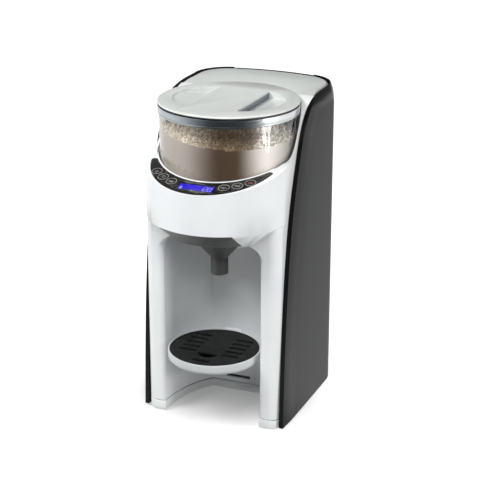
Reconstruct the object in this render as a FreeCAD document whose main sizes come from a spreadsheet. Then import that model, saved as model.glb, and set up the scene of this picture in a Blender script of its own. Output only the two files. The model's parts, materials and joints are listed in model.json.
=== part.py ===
import FreeCAD, Part

import math
import os
import re

import Sketcher
from FreeCAD import Placement, Rotation, Vector

# Powder-formula maker, in millimetres.
# +X is the machine's right, -Y its front, +Z up. The origin is the middle of its footprint on the table.

# ---------------------------------------------------------------- driving sizes: name, value, meaning
SIZES = [
    ("body_width", 176, "over the two side covers"),
    ("body_depth", 248, "front bulge to rear cover"),
    ("foot_height", 2, "rubber feet"),
    ("skirt_height", 10.3, "white skirt above the feet"),
    ("bay_height", 220, "bottle bay ceiling above the table"),
    ("chin_drop", 23, "height of the sloping chin above the bay"),
    ("chin_angle", 41, "slope of the chin"),
    ("wall_rise", 45.5, "front wall above the chin"),
    ("collar_angle", 15, "tilt of the collar and its control panel"),
    ("seam", 0.3, "gap at the parting lines"),
    ("shell_wall", 2.5, "white shell"),
    ("collar_skin", 4.2, "shell under the control panel"),
    ("bulge_spare", 1.2, "front wall's radius in plan beyond half the shell's width"),
    ("bulge_blend", 30, "bulge to straight side"),
    ("bay_width", 117.2, "between the legs"),
    ("bay_curve_depth", 92, "half length of the bay's ellipse"),
    ("bay_curve_setback", 56, "centre of the ellipse behind the front"),
    ("bay_back_setback", 133, "flat back panel behind the front"),
    ("arch_radius", 18, "upper corners of the bay"),
    ("leg_setback", 52.5, "leg noses behind the front"),
    ("leg_round", 12, "outer edge of a leg nose"),
    ("shell_setback", 158, "rear edge of the white shell behind the front"),
    ("cover_side", 6.3, "thickness of a side cover"),
    ("cover_rear", 2.2, "thickness of the rear cover"),
    ("cover_skin", 2.6, "wall of a side cover over its hollow"),
    ("cover_nose", 5, "flat front face of a side cover"),
    ("pocket_setback", 112, "hollow of a side cover behind the front"),
    ("pocket_base", 25, "hollow of a side cover above the table"),
    ("pocket_drop", 135, "hollow of a side cover below its top"),
    ("rim_rise", 1.6, "dark covers above the hopper lid"),
    ("cover_split", 50, "half width of the rear cover"),
    ("rear_bow", 229, "radius of the rear in plan"),
    ("corner_radius", 44, "rear corners in plan"),
    ("window_width", 20, "water level window in the rear cover"),
    ("window_foot", 60, "window above the tank's bottom"),
    ("window_drop", 40, "window below the tank's rim"),
    ("hopper_setback", 106, "hopper axis behind the front"),
    ("hopper_radius", 77.4, "outside of the clear container"),
    ("hopper_height", 71, "container from seat to rim"),
    ("hopper_wall", 2.2, "container wall"),
    ("hopper_floor", 3, "container floor"),
    ("hopper_foot", 2.2, "foot ring under the floor"),
    ("collar_gap", 1.0, "container to collar lip"),
    ("rim_gap", 0.9, "ring to well"),
    ("drive_space", 38.3, "chin top to the underside of the well"),
    ("ring_step", 1.6, "grey ring and lid beyond the container"),
    ("ring_height", 10.6, "grey ring"),
    ("ring_ledge", 5.9, "opening of the ring inside the container's outside"),
    ("well_wall", 1.3, "wall round the ring's well"),
    ("lid_seal_height", 0.8, "dark joint under the lid"),
    ("lid_thickness", 2.2, "disc of the lid"),
    ("lid_plug_depth", 9.5, "plug of the lid inside the ring"),
    ("lid_wall", 1.8, "walls of the lid"),
    ("grip_half_width", 29, "central grip bar of the lid"),
    ("grip_depth", 7.5, "finger recess beside the bar"),
    ("grip_reach", 64, "outer edge of a finger recess from the middle"),
    ("grip_half_length", 47, "half length of a finger recess"),
    ("outlet_radius", 10, "powder outlet"),
    ("chute_wall", 1.6, "powder chute"),
    ("powder_gap", 0.3, "powder to the container"),
    ("powder_depth", 42, "powder above the container floor at the middle"),
    ("powder_slope", 5, "tilt of the powder's surface"),
    ("wheel_overhang", 9, "mixing wheel beyond the middle of the powder outlet"),
    ("wheel_web", 1.5, "disc of the mixing wheel"),
    ("wheel_hole", 7, "holes of the mixing wheel that powder falls through"),
    ("vane_height", 15, "vanes of the mixing wheel"),
    ("vane_thickness", 2, "vanes of the mixing wheel"),
    ("hub_radius", 12, "hub of the mixing wheel"),
    ("socket_radius", 8.6, "socket in the hub"),
    ("dog_width", 5, "bars of the drive coupling"),
    ("dog_reach", 8, "bars of the drive coupling from the axis"),
    ("dog_height", 11, "bars of the drive coupling"),
    ("dog_gap", 0.4, "bars in the wheel's socket"),
    ("fit_gap", 0.3, "between parts that move past each other"),
    ("shaft_radius", 3, "drive shaft"),
    ("bush_gap", 0.05, "shaft in its bush"),
    ("bush_radius", 6, "bush"),
    ("deck_thickness", 3, "drive deck"),
    ("deck_drop", 31.3, "drive deck top below the well"),
    ("tooth_module", 1.5, "drive gear"),
    ("gear_teeth", 48, "drive gear"),
    ("pinion_teeth", 16, "motor pinion"),
    ("gear_width", 7, "drive gear"),
    ("gear_gap", 3.5, "teeth of the drive gear to the powder chute"),
    ("gear_hole", 6, "easing holes of the drive gear"),
    ("gear_hole_ring", 22, "easing holes from the gear's axis"),
    ("pinion_bore", 1.5, "motor pinion"),
    ("motor_nose", 5, "radius of the motor's nose in the deck"),
    ("motor_radius", 18, "powder motor"),
    ("motor_height", 24, "powder motor"),
    ("motor_turn", 55, "bearing of the motor from the hopper axis"),
    ("panel_outer", 74, "outer edge of the control panel"),
    ("panel_outer_setback", 75, "centre of that edge behind the front"),
    ("panel_lip", 2.1, "white lip inside the panel"),
    ("panel_end_setback", 60, "ends of the panel behind the front"),
    ("panel_round", 2.5, "corners of the panel's ends"),
    ("panel_thickness", 2, "control panel"),
    ("display_width", 41, "display window"),
    ("display_height", 12, "display window"),
    ("display_setback", 15.8, "display middle from the panel's front, along the slope"),
    ("lens_thickness", 1.2, "display window"),
    ("button_radius", 6.5, "buttons"),
    ("button_proud", 0.4, "buttons above the panel"),
    ("button_travel", 0.6, "push of a button"),
    ("button_ring", 82.6, "ring the buttons lie on"),
    ("button_setback", 97, "centre of that ring behind the front"),
    ("button_first", 21.8, "bearing of the first button"),
    ("button_step", 10, "bearing between buttons"),
    ("mat_thickness", 2.2, "rubber keypad"),
    ("board_thickness", 1.6, "circuit boards"),
    ("drawer_half_width", 42.7, "funnel drawer"),
    ("drawer_plate", 3, "front plate of the drawer"),
    ("frame_thickness", 2.5, "frame of the drawer"),
    ("nozzle_setback", 78, "funnel axis behind the front"),
    ("funnel_radius", 36.5, "funnel in the drawer's hole"),
    ("funnel_flange", 2.5, "flange of the funnel beyond the hole"),
    ("funnel_rim", 14, "funnel wall above the frame"),
    ("funnel_wall", 1.8, "funnel"),
    ("nozzle_radius", 10, "funnel nozzle"),
    ("nozzle_length", 20, "funnel nozzle"),
    ("cone_drop", 30, "funnel cone below the frame"),
    ("tray_setback", 62.7, "tray axis behind the front"),
    ("tray_radius", 53.2, "drip tray"),
    ("tray_top", 87.3, "drip tray rim above the table"),
    ("tray_depth", 12, "drip tray"),
    ("tray_wall", 1.9, "drip tray"),
    ("tray_round", 8.5, "lower edge of the drip tray"),
    ("grid_thickness", 2.6, "drip grid"),
    ("grid_skirt", 5.5, "feet of the drip grid"),
    ("slot_width", 3.2, "slots of the drip grid"),
    ("slot_length", 17, "slots of the drip grid"),
    ("slot_pitch", 8.2, "slots of the drip grid"),
    ("slot_side", 27, "columns of slots from the middle"),
    ("lift_radius", 11, "finger hole of the drip grid"),
    ("grid_foot_side", 24, "feet of the drip grid from its axis"),
    ("tongue_half_width", 14, "tongue of the tray bracket"),
    ("tongue_height", 3.4, "tongue of the tray bracket"),
    ("tongue_gap", 0.4, "tongue in its slot"),
    ("lower_slot_height", 18, "spare slot of the back panel above the table"),
    ("tank_front_setback", 190, "front of the water tank behind the front"),
    ("tank_wall", 2.2, "water tank"),
    ("tank_corner", 8, "front corners of the water tank"),
    ("tank_gap", 2.8, "tank to the covers"),
    ("tank_base", 47, "tank bottom above the table"),
    ("lid_sink", 0.5, "rear deck below the covers' top"),
    ("lid_space", 18.5, "tank rim below the rear deck's top"),
    ("lid_skirt", 14, "depth of the rear deck's skirt"),
    ("lid_skin", 2.4, "rear deck"),
    ("lid_gap", 1.6, "rear deck to the covers"),
    ("lid_front_gap", 1.1, "rear deck to the white body, which its front edge swings past"),
    ("lid_edge", 5, "rounded edge of the rear deck"),
    ("dish_reach", 26, "dish round the hopper beyond the grey ring"),
    ("dish_drop", 8, "depth of the dish at the hopper"),
    ("lid_hopper_gap", 1.4, "rear deck to the grey ring"),
    ("hinge_inset", 10.5, "deck hinge in front of the rear cover"),
    ("hinge_drop", 4.2, "deck hinge below the deck's top"),
    ("hinge_spread", 41, "hinge ears from the middle"),
    ("hinge_pin_radius", 1.25, "deck hinge pin"),
    ("hinge_pin_gap", 0.05, "pin in its ears"),
    ("pin_overhang", 8, "pin beyond the ears"),
    ("hinge_ear_radius", 2.6, "ears round the pin"),
    ("ear_width", 4, "hinge ears"),
    ("valve_radius", 11, "tank valve"),
    ("valve_gap", 0.3, "tank valve in its seat's ring"),
    ("valve_drop", 13, "tank valve below the tank"),
    ("plunger_radius", 2, "valve plunger stem"),
    ("valve_wall", 3, "tank valve"),
    ("seal_thickness", 1.5, "tank seal"),
    ("seal_width", 2, "tank seal"),
    ("plunger_disc", 1.6, "disc on the plunger"),
    ("spring_wire", 0.45, "radius of the valve spring's wire"),
    ("spring_turns", 4, "valve spring"),
    ("bridge_rise", 2.2, "bridge over the valve above the tank's floor"),
    ("bridge_thickness", 1.6, "bridge over the valve"),
    ("seat_floor", 17, "floor of the valve seat below the shelf"),
    ("shelf_thickness", 3, "tank shelf"),
    ("shelf_post_side", 60, "posts of the tank shelf from the middle"),
    ("shelf_post", 8, "width of a post"),
    ("base_thickness", 2.5, "base plate"),
    ("foot_radius", 7, "rubber feet"),
    ("foot_setback", 13.5, "front feet behind the leg noses"),
    ("foot_outset", 11.4, "front feet beside the bay"),
    ("foot_inset", 20, "rear feet inside the tank's side"),
    ("foot_ahead", 26, "rear feet in front of the tank's rear"),
    ("frame_wall", 2.5, "back frame"),
    ("frame_inset", 14, "back frame inside the shell's side walls"),
    ("frame_arm", 12, "width of the arms that carry the drive deck"),
    ("frame_gap", 2.5, "back panel to back frame"),
    ("hose_radius", 3, "water hoses"),
    ("hose_bend", 9, "bends of the water hoses"),
    ("screw_radius", 1.5, "screws"),
    ("screw_head", 2.8, "screw heads"),
    ("screw_gap", 0.1, "screws in their holes"),
    ("boss_radius", 4, "screw bosses and posts"),
    ("boss_height", 18, "screw bosses"),
    ("screw_length", 16, "screws"),
    ("screw_inset", 3, "screws inside the shell's wall"),
    ("screw_sunk", 0.6, "screw heads above the feet's underside"),
    ("screw_behind", 38, "rear screws behind the hopper axis"),
    ("post_side", 54, "posts under the drive deck from the middle"),
    ("post_ahead", 22, "front posts and screws ahead of the hopper axis"),
    ("post_behind", 16, "rear posts behind the hopper axis"),
    ("rib_side", 20, "ribs of the back panel from the middle"),
    ("rib_width", 2, "ribs of the back panel"),
    ("rib_height", 0.8, "ribs of the back panel"),
    ("gland_radius", 7, "cord gland"),
    ("gland_side", 32, "cord gland from the middle"),
    ("gland_height", 24, "cord gland above the table"),
    ("gland_wall", 2.2, "cord gland"),
    ("gland_flange", 1.6, "cord gland's flange beyond its neck"),
    ("pump_width", 36, "water pump"),
    ("pump_depth", 30, "water pump"),
    ("pump_height", 32, "water pump"),
    ("pump_base", 30, "water pump above the table"),
    ("pump_head", 11, "radius of the pump's head"),
    ("pump_head_height", 12, "pump's head"),
    ("nipple_radius", 3.2, "hose nipples"),
    ("nipple_length", 6, "hose nipples"),
    ("intake_height", 40, "hose from the tank to the pump above the table"),
    ("heater_radius", 17, "water heater"),
    ("heater_length", 90, "water heater"),
    ("heater_base", 110, "water heater above the table"),
    ("heater_side", 34, "water heater from the middle"),
    ("heater_back", 20, "water heater's axis behind the frame"),
    ("board_width", 50, "main board"),
    ("board_height", 120, "main board"),
    ("board_base", 70, "main board above the table"),
    ("board_side", 36, "main board from the middle"),
    ("board_standoff", 5, "main board behind the frame"),
    ("spout_side", 20, "water spout from the middle"),
    ("spout_back", 43, "rear of the water spout behind the funnel's axis"),
    ("spout_width", 9, "water spout"),
    ("spout_height", 5.5, "water spout"),
    ("spout_gauge", 2.4, "nipple of the water spout and the hose to it"),
]

# ---------------------------------------------------------------- places that follow from the sizes
PLACES = [
    ("front_face", "-body_depth / 2"),
    ("rear_face", "body_depth / 2"),
    ("shell_half", "body_width / 2 - cover_side - seam"),
    ("shell_rear", "front_face + shell_setback"),
    ("bulge_radius", "shell_half + bulge_spare"),
    ("bulge_middle", "front_face + bulge_radius"),
    ("leg_front", "front_face + leg_setback"),
    ("bay_middle", "front_face + bay_curve_setback"),
    ("bay_back", "front_face + bay_back_setback"),
    ("skirt_top", "foot_height + skirt_height"),
    ("shell_foot", "skirt_top + seam"),
    ("chin_top", "bay_height + chin_drop"),
    ("wall_top", "chin_top + wall_rise"),
    ("well_floor", "chin_top + drive_space"),
    ("hopper_seat", "well_floor + shell_wall"),
    ("hopper_axis", "front_face + hopper_setback"),
    ("hopper_rim", "hopper_seat + hopper_height"),
    ("ring_radius", "hopper_radius + ring_step"),
    ("ring_bore", "hopper_radius - ring_ledge"),
    ("gear_tip", "tooth_module * (gear_teeth / 2 + 0.6)"),
    ("outlet_reach", "gear_tip + gear_gap + chute_wall + outlet_radius"),
    ("wheel_radius", "outlet_reach + wheel_overhang"),
    ("dish_radius", "ring_radius + dish_reach"),
    ("floor_top", "hopper_seat + hopper_foot + hopper_floor"),
    ("ring_top", "hopper_rim + ring_height"),
    ("seal_top", "ring_top + lid_seal_height"),
    ("hopper_lid_top", "seal_top + lid_thickness"),
    ("cover_top", "hopper_lid_top + rim_rise"),
    ("lid_top", "cover_top - lid_sink"),
    ("tank_top", "lid_top - lid_space"),
    ("well_radius", "ring_radius + rim_gap"),
    ("collar_radius", "hopper_radius + collar_gap"),
    ("outlet_middle", "hopper_axis - outlet_reach"),
    ("deck_top", "well_floor - deck_drop + shell_wall"),
    ("deck_base", "deck_top - deck_thickness"),
    ("gear_base", "deck_top + 2 * shell_wall"),
    ("dog_base", "hopper_seat - hopper_foot"),
    ("panel_outer_middle", "front_face + panel_outer_setback"),
    ("panel_end", "front_face + panel_end_setback"),
    ("panel_inner", "collar_radius + panel_lip"),
    ("drawer_base", "bay_height + shell_wall + seam"),
    ("drawer_top", "chin_top - seam"),
    ("frame_top", "drawer_base + frame_thickness"),
    ("drawer_back", "bay_back - shell_wall - 10"),
    ("funnel_axis", "front_face + nozzle_setback"),
    ("nozzle_top", "drawer_base - cone_drop"),
    ("tray_axis", "front_face + tray_setback"),
    ("tray_floor", "tray_top - tray_depth"),
    ("tongue_base", "tray_floor - tongue_height"),
    ("frame_face", "bay_back + shell_wall + frame_gap"),
    ("frame_rear", "frame_face + frame_wall"),
    ("frame_half", "shell_half - shell_wall - frame_inset"),
    ("tank_front", "front_face + tank_front_setback"),
    ("tank_half", "body_width / 2 - cover_side - tank_gap"),
    ("tank_rear", "rear_face - cover_rear - tank_gap"),
    ("lid_rear", "rear_face - cover_rear - lid_gap"),
    ("hinge_back", "rear_face - cover_rear - hinge_inset"),
    ("hinge_height", "lid_top - hinge_drop"),
    ("pin_reach", "hinge_spread + ear_width / 2 + pin_overhang"),
    ("valve_middle", "(tank_front + tank_rear) / 2"),
    ("valve_foot", "tank_base - valve_drop"),
    ("bridge_base", "tank_base + tank_wall + bridge_rise"),
    ("plate_top", "foot_height + base_thickness"),
    ("shelf_top", "tank_base"),
    ("shelf_base", "shelf_top - shelf_thickness"),
    ("screw_side", "shell_half - shell_wall - screw_inset"),
    ("screw_front", "hopper_axis - post_ahead"),
    ("screw_back", "hopper_axis + screw_behind"),
    ("post_front", "hopper_axis - post_ahead"),
    ("post_back", "hopper_axis + post_behind"),
    ("heater_axis", "frame_rear + heater_back"),
    ("heater_top", "heater_base + heater_length"),
    ("pump_top", "pump_base + pump_height"),
    ("pump_axis", "frame_rear + pump_depth / 2"),
    ("board_face", "frame_rear + board_standoff"),
    ("spout_level", "(chin_top + deck_base) / 2 + 0.4"),
    ("spout_rear", "funnel_axis + spout_back"),
    ("gear_reach", "tooth_module * (gear_teeth + pinion_teeth) / 2"),
    ("motor_side", "gear_reach * cos(motor_turn * 1deg)"),
    ("motor_back", "hopper_axis + gear_reach * sin(motor_turn * 1deg)"),
]

doc = FreeCAD.newDocument("formula_maker")
sizes = doc.addObject("Spreadsheet::Sheet", "Sizes")
places = doc.addObject("Spreadsheet::Sheet", "Places")
SIZE_NAMES = {name for name, value, meaning in SIZES}
PLACE_NAMES = {name for name, formula in PLACES}
PARTS = []


def cells(text):
    """Point each name in an expression at its cell in the sheets."""
    def cell(word):
        name = word.group()
        if name in SIZE_NAMES:
            return "Sizes." + name
        return "Places." + name if name in PLACE_NAMES else name
    return re.sub(r"[a-z][a-z_]+", cell, text)


for row, (name, value, meaning) in enumerate(SIZES, 1):
    sizes.set("A%d" % row, name)
    sizes.set("B%d" % row, str(value))
    sizes.set("C%d" % row, meaning)
    sizes.setAlias("B%d" % row, name)
doc.recompute()
for row, (name, formula) in enumerate(PLACES, 1):
    places.set("A%d" % row, name)
    places.setAlias("B%d" % row, name)
    places.set("B%d" % row, "=" + cells(formula).replace("Places.", ""))
doc.recompute()


def at(name):
    """The number that a name stands for."""
    return float(getattr(sizes if name in SIZE_NAMES else places, name))


# ---------------------------------------------------------------- bound primitives and booleans
def bind(thing, **properties):
    for name, text in properties.items():
        thing.setExpression(name, cells(text))
    return thing


def put(thing, x="0", y="0", z="0"):
    for letter, text in zip("xyz", (x, y, z)):
        thing.setExpression("Placement.Base." + letter, cells(text))
    return thing


def cylinder(radius, height, x="0", y="0", z="0"):
    thing = doc.addObject("Part::Cylinder", "cylinder")
    return put(bind(thing, Radius=radius, Height=height), x, y, z)


def rod(radius, length, axis, x="0", y="0", z="0"):
    """A cylinder that lies along the given axis, starting at x, y, z."""
    thing = cylinder(radius, length, x, y, z)
    thing.Placement.Rotation = Rotation(Vector(0, 0, 1), axis)
    return thing


def box(width, depth, height, x="0", y="0", z="0"):
    """A box centred on x and y, standing on z."""
    thing = bind(doc.addObject("Part::Box", "box"), Length=width, Width=depth, Height=height)
    return put(thing, "%s - (%s) / 2" % (x, width), "%s - (%s) / 2" % (y, depth), z)


def cone(low, high, height, x="0", y="0", z="0"):
    thing = bind(doc.addObject("Part::Cone", "cone"), Radius1=low, Radius2=high, Height=height)
    return put(thing, x, y, z)


def fuse(*things):
    whole = doc.addObject("Part::MultiFuse", "fusion")
    whole.Shapes = list(things)
    return whole


def cut(base, *tools):
    remainder = doc.addObject("Part::Cut", "cut")
    remainder.Base = base
    remainder.Tool = tools[0] if len(tools) == 1 else fuse(*tools)
    return remainder


def common(*things):
    shared = doc.addObject("Part::MultiCommon", "common")
    shared.Shapes = list(things)
    return shared


def node(label, thing):
    """Name a finished sub-part; the label is also its file's name."""
    thing.Label = label
    PARTS.append(thing)
    return thing


def shaped(label, shape):
    thing = doc.addObject("Part::Feature", label)
    thing.Shape = shape
    return node(label, thing)


# ---------------------------------------------------------------- sketched bodies
def sketch_on(body, plane, points):
    """A closed outline of straight lines whose corners are bound to expressions."""
    sketch = body.newObject("Sketcher::SketchObject", "sketch")
    origin = [item for item in body.Origin.OriginFeatures if item.Role == plane][0]
    sketch.AttachmentSupport = (origin, "")
    sketch.MapMode = "FlatFace"
    start = Vector(0, 0, 0)
    for corner in range(len(points)):
        ahead = Vector(10 + corner, 10 + 7 * (corner % 2), 0)
        sketch.addGeometry(Part.LineSegment(start, ahead), False)
        start = ahead
    count = len(points)
    for corner in range(count):
        follower = (corner + 1) % count
        sketch.addConstraint(Sketcher.Constraint("Coincident", corner, 2, follower, 1))
    for corner, pair in enumerate(points):
        for kind, text in zip(("DistanceX", "DistanceY"), pair):
            index = sketch.addConstraint(Sketcher.Constraint(kind, -1, 1, corner, 1, 1.0 + corner))
            sketch.setExpression("Constraints[%d]" % index, cells(text))
    return sketch


def turned(label, profile, x="0", y="0", z="0"):
    """A body of revolution about its own upright axis, from (radius, height) pairs."""
    body = doc.addObject("PartDesign::Body", label)
    sketch = sketch_on(body, "XZ_Plane", profile)
    spin = body.newObject("PartDesign::Revolution", "turn")
    spin.Profile = sketch
    spin.ReferenceAxis = (sketch, ["V_Axis"])
    spin.Angle = 360
    body.Tip = spin
    return put(body, x, y, z)


def padded(label, outline, thickness, x="0", y="0", z="0", plane="XY_Plane"):
    body = doc.addObject("PartDesign::Body", label)
    pad = body.newObject("PartDesign::Pad", "pad")
    pad.Profile = sketch_on(body, plane, outline)
    bind(pad, Length=thickness)
    body.Tip = pad
    return put(body, x, y, z)


# ---------------------------------------------------------------- outlines in plan and in profile
def outline(start, *runs):
    """Edges in plan: each run is the end of a line, or the middle and the end of an arc."""
    edges = []
    for run in runs:
        ends = [Vector(*point, 0) for point in (start,) + run]
        curve = Part.LineSegment(*ends) if len(ends) == 2 else Part.Arc(*ends)
        edges.append(curve.toShape())
        start = run[-1]
    return edges


def both_sides(edges):
    """The face inside some edges and their mirror image across the middle plane."""
    other = [edge.mirror(Vector(0, 0, 0), Vector(1, 0, 0)) for edge in edges]
    return Part.Face(Part.Wire(Part.__sortEdges__(edges + other)))


def prism(face, low, high):
    base = face.copy()
    base.translate(Vector(0, 0, low))
    return base.extrude(Vector(0, 0, high - low))


def slab(x_one, x_other, y_low, y_high, z_low, z_high):
    """A block between two faces each way; the two across may come in either order."""
    x_low, x_high = sorted((x_one, x_other))
    return Part.makeBox(x_high - x_low, y_high - y_low, z_high - z_low, Vector(x_low, y_low, z_low))


def drum(radius, low, high, x=0.0, y=0.0):
    return Part.makeCylinder(radius, high - low, Vector(x, y, low))


def bulge_outline(inset, rear):
    """The upper body: bowed front wall, blended corners, straight sides."""
    half = at("shell_half") - inset
    radius = at("bulge_radius") - inset
    blend = at("bulge_blend") - inset
    middle = at("bulge_middle")
    side = half - blend
    back = middle - math.sqrt((radius - blend) ** 2 - side ** 2)
    bearing = math.atan2(side, middle - back)
    halfway = (bearing + math.pi / 2) / 2

    def on_bulge(turn):
        return radius * math.sin(turn), middle - radius * math.cos(turn)
    knee = (side + blend * math.sin(halfway), back - blend * math.cos(halfway))
    return both_sides(outline(
        on_bulge(0), (on_bulge(bearing / 2), on_bulge(bearing)),
        (knee, (half, back)), ((half, rear),), ((0, rear),)))


def leg_outline(inset, rear):
    """The lower body: straight sides with rounded leg noses."""
    half = at("shell_half") - inset
    front = at("leg_front") + inset
    round_off = at("leg_round") - inset
    slant = round_off * (1 - math.sqrt(0.5))
    return both_sides(outline(
        (0, front), ((half - round_off, front),),
        ((half - slant, front + slant), (half, front + round_off)),
        ((half, rear),), ((0, rear),)))


def bay_outline(outset):
    """The bottle bay: open in front, elliptical sides, flat back panel."""
    half = at("bay_width") / 2 + outset
    depth = at("bay_curve_depth") + outset
    middle = at("bay_middle")
    back = at("bay_back") + outset
    front = at("front_face") - depth
    oval = Part.Ellipse(Vector(0, middle + depth, 0), Vector(half, middle, 0), Vector(0, middle, 0))
    cut_off = math.acos((back - middle) / depth)
    curve = Part.Arc(oval, cut_off, math.pi / 2).toShape()
    corner = half * math.sin(cut_off)
    edges = outline((0, front), ((half, front),), ((half, middle),))
    return both_sides(edges + [curve] + outline((corner, back), ((0, back),)))


def bay_room(outset):
    """The bay's hollow, grown by outset; its ceiling has rounded corners."""
    half = at("bay_width") / 2 + outset
    roof = at("bay_height") + outset
    round_off = at("arch_radius") + outset
    far = 2 * at("body_depth")
    arch = slab(-half, half, -far, far, -1, roof)
    corners = [edge for edge in arch.Edges if edge.BoundBox.ZMin > roof - 0.1 and edge.BoundBox.YLength > far]
    return prism(bay_outline(outset), 0, roof).common(arch.makeFillet(round_off, corners))


def rear_outline(half, rear, corner, bow, front):
    """A plan with a straight front, straight sides, round rear corners and a bowed rear."""
    side = half - corner
    back = rear - bow + math.sqrt((bow - corner) ** 2 - side ** 2)
    bearing = math.atan2(side, back - rear + bow)
    halfway = (bearing + math.pi / 2) / 2
    touch = (bow * math.sin(bearing), rear - bow + bow * math.cos(bearing))
    elbow = (side + corner * math.sin(halfway), back + corner * math.cos(halfway))
    mid_bow = (bow * math.sin(bearing / 2), rear - bow + bow * math.cos(bearing / 2))
    return both_sides(outline(
        (0, front), ((half, front),), ((half, back),), (elbow, touch), (mid_bow, (0, rear))))


def inside_covers(gap, front, part=1.0):
    """A plan inside the covers: part of their thickness in from outside, and a gap further."""
    side, rear = part * at("cover_side") + gap, part * at("cover_rear") + gap
    return rear_outline(at("body_width") / 2 - side, at("rear_face") - rear,
                        at("corner_radius") - (side + rear) / 2, at("rear_bow") - rear, front)


def collar_height(y):
    return at("wall_top") + (y - at("front_face")) * math.tan(math.radians(at("collar_angle")))


def upright_face(edges_from, x):
    """A face in the plane X = x from one spline and the corners that close it."""
    curve, corners = edges_from
    spline = Part.BSplineCurve()
    points = [Vector(x, *point) for point in curve]
    spline.interpolate(points)
    chain = [points[-1]] + [Vector(x, *point) for point in corners] + [points[0]]
    lines = [Part.LineSegment(a, b).toShape() for a, b in zip(chain, chain[1:])]
    return Part.Face(Part.Wire([spline.toShape()] + lines))


# (behind the front, below the covers' top): the white body's shoulder beside the hopper
SHOULDER = [(94, 55), (107, 37.5), (118.6, 22.4), (131, 12.6), (144, 6.6), (158, 3.3)]
# the same for the dark covers: where they meet the white body, and where their flat side begins
COVER_EDGE = [(60, 292), (65.5, 222), (72.5, 165.5), (84, 110), (99.5, 65), (112, 36), (122.5, 20.8),
              (134, 10.8), (146, 5), (159, 1.8), (180, 0.4), (204, 0)]
COVER_FLAT = [(88, 307), (100, 162), (106, 128), (121, 97), (132.5, 73.5), (147.5, 43), (161, 30.5),
              (176, 23), (194, 19), (217, 17)]
COVER_EDGE_FOOT = 56.5
COVER_FLAT_FOOT = 81
# (below the covers' top, part of a cover's thickness): how the covers' rim draws in
RIM_ROUNDING = [(22, 0), (13, 0.1), (6, 0.35), (1.5, 0.7), (-1, 0.9)]


def from_top(curve, below=0.0):
    return [(at("front_face") + back, at("cover_top") - drop - below) for back, drop in curve]


def above_body(sunk):
    """Everything over the white body's top, lowered by sunk."""
    front = at("front_face") - 20
    knee = at("front_face") + SHOULDER[0][0] - 15
    crest = at("cover_top") + 30
    end = at("shell_rear")
    well_end = at("tank_front") + 20
    rest = at("tank_top") - 1 - sunk
    shoulder = [(knee, collar_height(knee) - sunk)] + from_top(SHOULDER, sunk)
    corners = [(end, rest), (well_end, rest), (well_end, crest), (front, crest),
               (front, collar_height(front) - sunk)]
    face = upright_face((shoulder, corners), -at("body_width"))
    return face.extrude(Vector(2 * at("body_width"), 0, 0))


# ---------------------------------------------------------------- the tilted collar and what sits in it
def tilted(shape):
    """Move a shape drawn flat, front edge at the origin, onto the collar's slope."""
    turn = Rotation(Vector(1, 0, 0), at("collar_angle"))
    shape.Placement = Placement(Vector(0, at("front_face"), at("wall_top")), turn).multiply(shape.Placement)
    return shape


def crescent(inset, low, high):
    """A layer of the collar in the panel's outline, between two heights along the slope."""
    outer = drum(at("panel_outer") - inset, 0, at("cover_top"), y=at("panel_outer_middle"))
    inner = drum(at("panel_inner") + inset, 0, at("cover_top"), y=at("hopper_axis"))
    far = at("body_width")
    ends = slab(-far, far, -2 * far, at("panel_end") - inset, 0, at("cover_top"))
    sickle = outer.cut(inner).common(ends)
    upright = [edge for edge in sickle.Edges if edge.BoundBox.ZLength > far and abs(edge.BoundBox.XMin) > 10]
    sickle = sickle.makeFillet(max(at("panel_round") - inset, 0.5), upright)
    return sickle.common(tilted(slab(-far, far, -far, far, low, high)))


def button_places():
    """Each button's middle on the slope, left to right, as (across, up the slope)."""
    slope = math.cos(math.radians(at("collar_angle")))
    spots = []
    for place in (-2, -1, 0, 0, 1, 2):
        hand = -1 if len(spots) < 3 else 1
        bearing = math.radians(at("button_first") + abs(place) * at("button_step"))
        back = at("button_setback") - at("button_ring") * math.cos(bearing)
        spots.append((hand * at("button_ring") * math.sin(bearing), back / slope))
    return spots


def button_holes(gap, low, high):
    holes = [tilted(drum(at("button_radius") + gap, low, high, x, y)) for x, y in button_places()]
    return Part.makeCompound(holes)


def display_block(grow, low, high):
    half, tall = at("display_width") / 2 + grow, at("display_height") / 2 + grow
    middle = at("display_setback")
    return tilted(slab(-half, half, middle - tall, middle + tall, low, high))


# ---------------------------------------------------------------- the white body
def chin_cone(inset):
    """The cone whose surface is the sloping chin."""
    slope = math.radians(at("chin_angle"))
    drop = 2 * at("chin_drop") - 4
    high = at("bulge_radius") - inset / math.sin(slope)
    return Part.makeCone(high - drop / math.tan(slope), high, drop,
                         Vector(0, at("bulge_middle"), at("chin_top") - drop))


def body_mass(inset, rear, foot):
    """The white body as a full block, its walls moved in by inset."""
    crest = at("cover_top") + 20
    upper = prism(bulge_outline(inset, rear), at("chin_top"), crest)
    chin = chin_cone(inset).common(prism(bulge_outline(inset, rear), foot, at("chin_top")))
    legs = prism(leg_outline(inset, rear), foot, at("chin_top"))
    return upper.fuse([chin, legs]).removeSplitter()


def funnel_opening():
    """The drawer's room behind the chin and the slot its funnel slides along."""
    half = at("drawer_half_width") + at("seam")
    front = at("front_face") - 10
    floor = at("bay_height") + at("shell_wall")
    room = slab(-half, half, front, at("drawer_back") + 2, floor, at("chin_top"))
    reach = at("funnel_radius") + 2
    throat = slab(-reach, reach, front, at("funnel_axis"), at("bay_height") - 1, floor)
    return room.fuse([throat, drum(reach, at("bay_height") - 1, floor, y=at("funnel_axis"))])


def screw_places():
    """The base screws' middles in plan."""
    rows = (at("screw_front"), at("screw_back"))
    return [(side * at("screw_side"), y) for side in (-1, 1) for y in rows]


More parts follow.
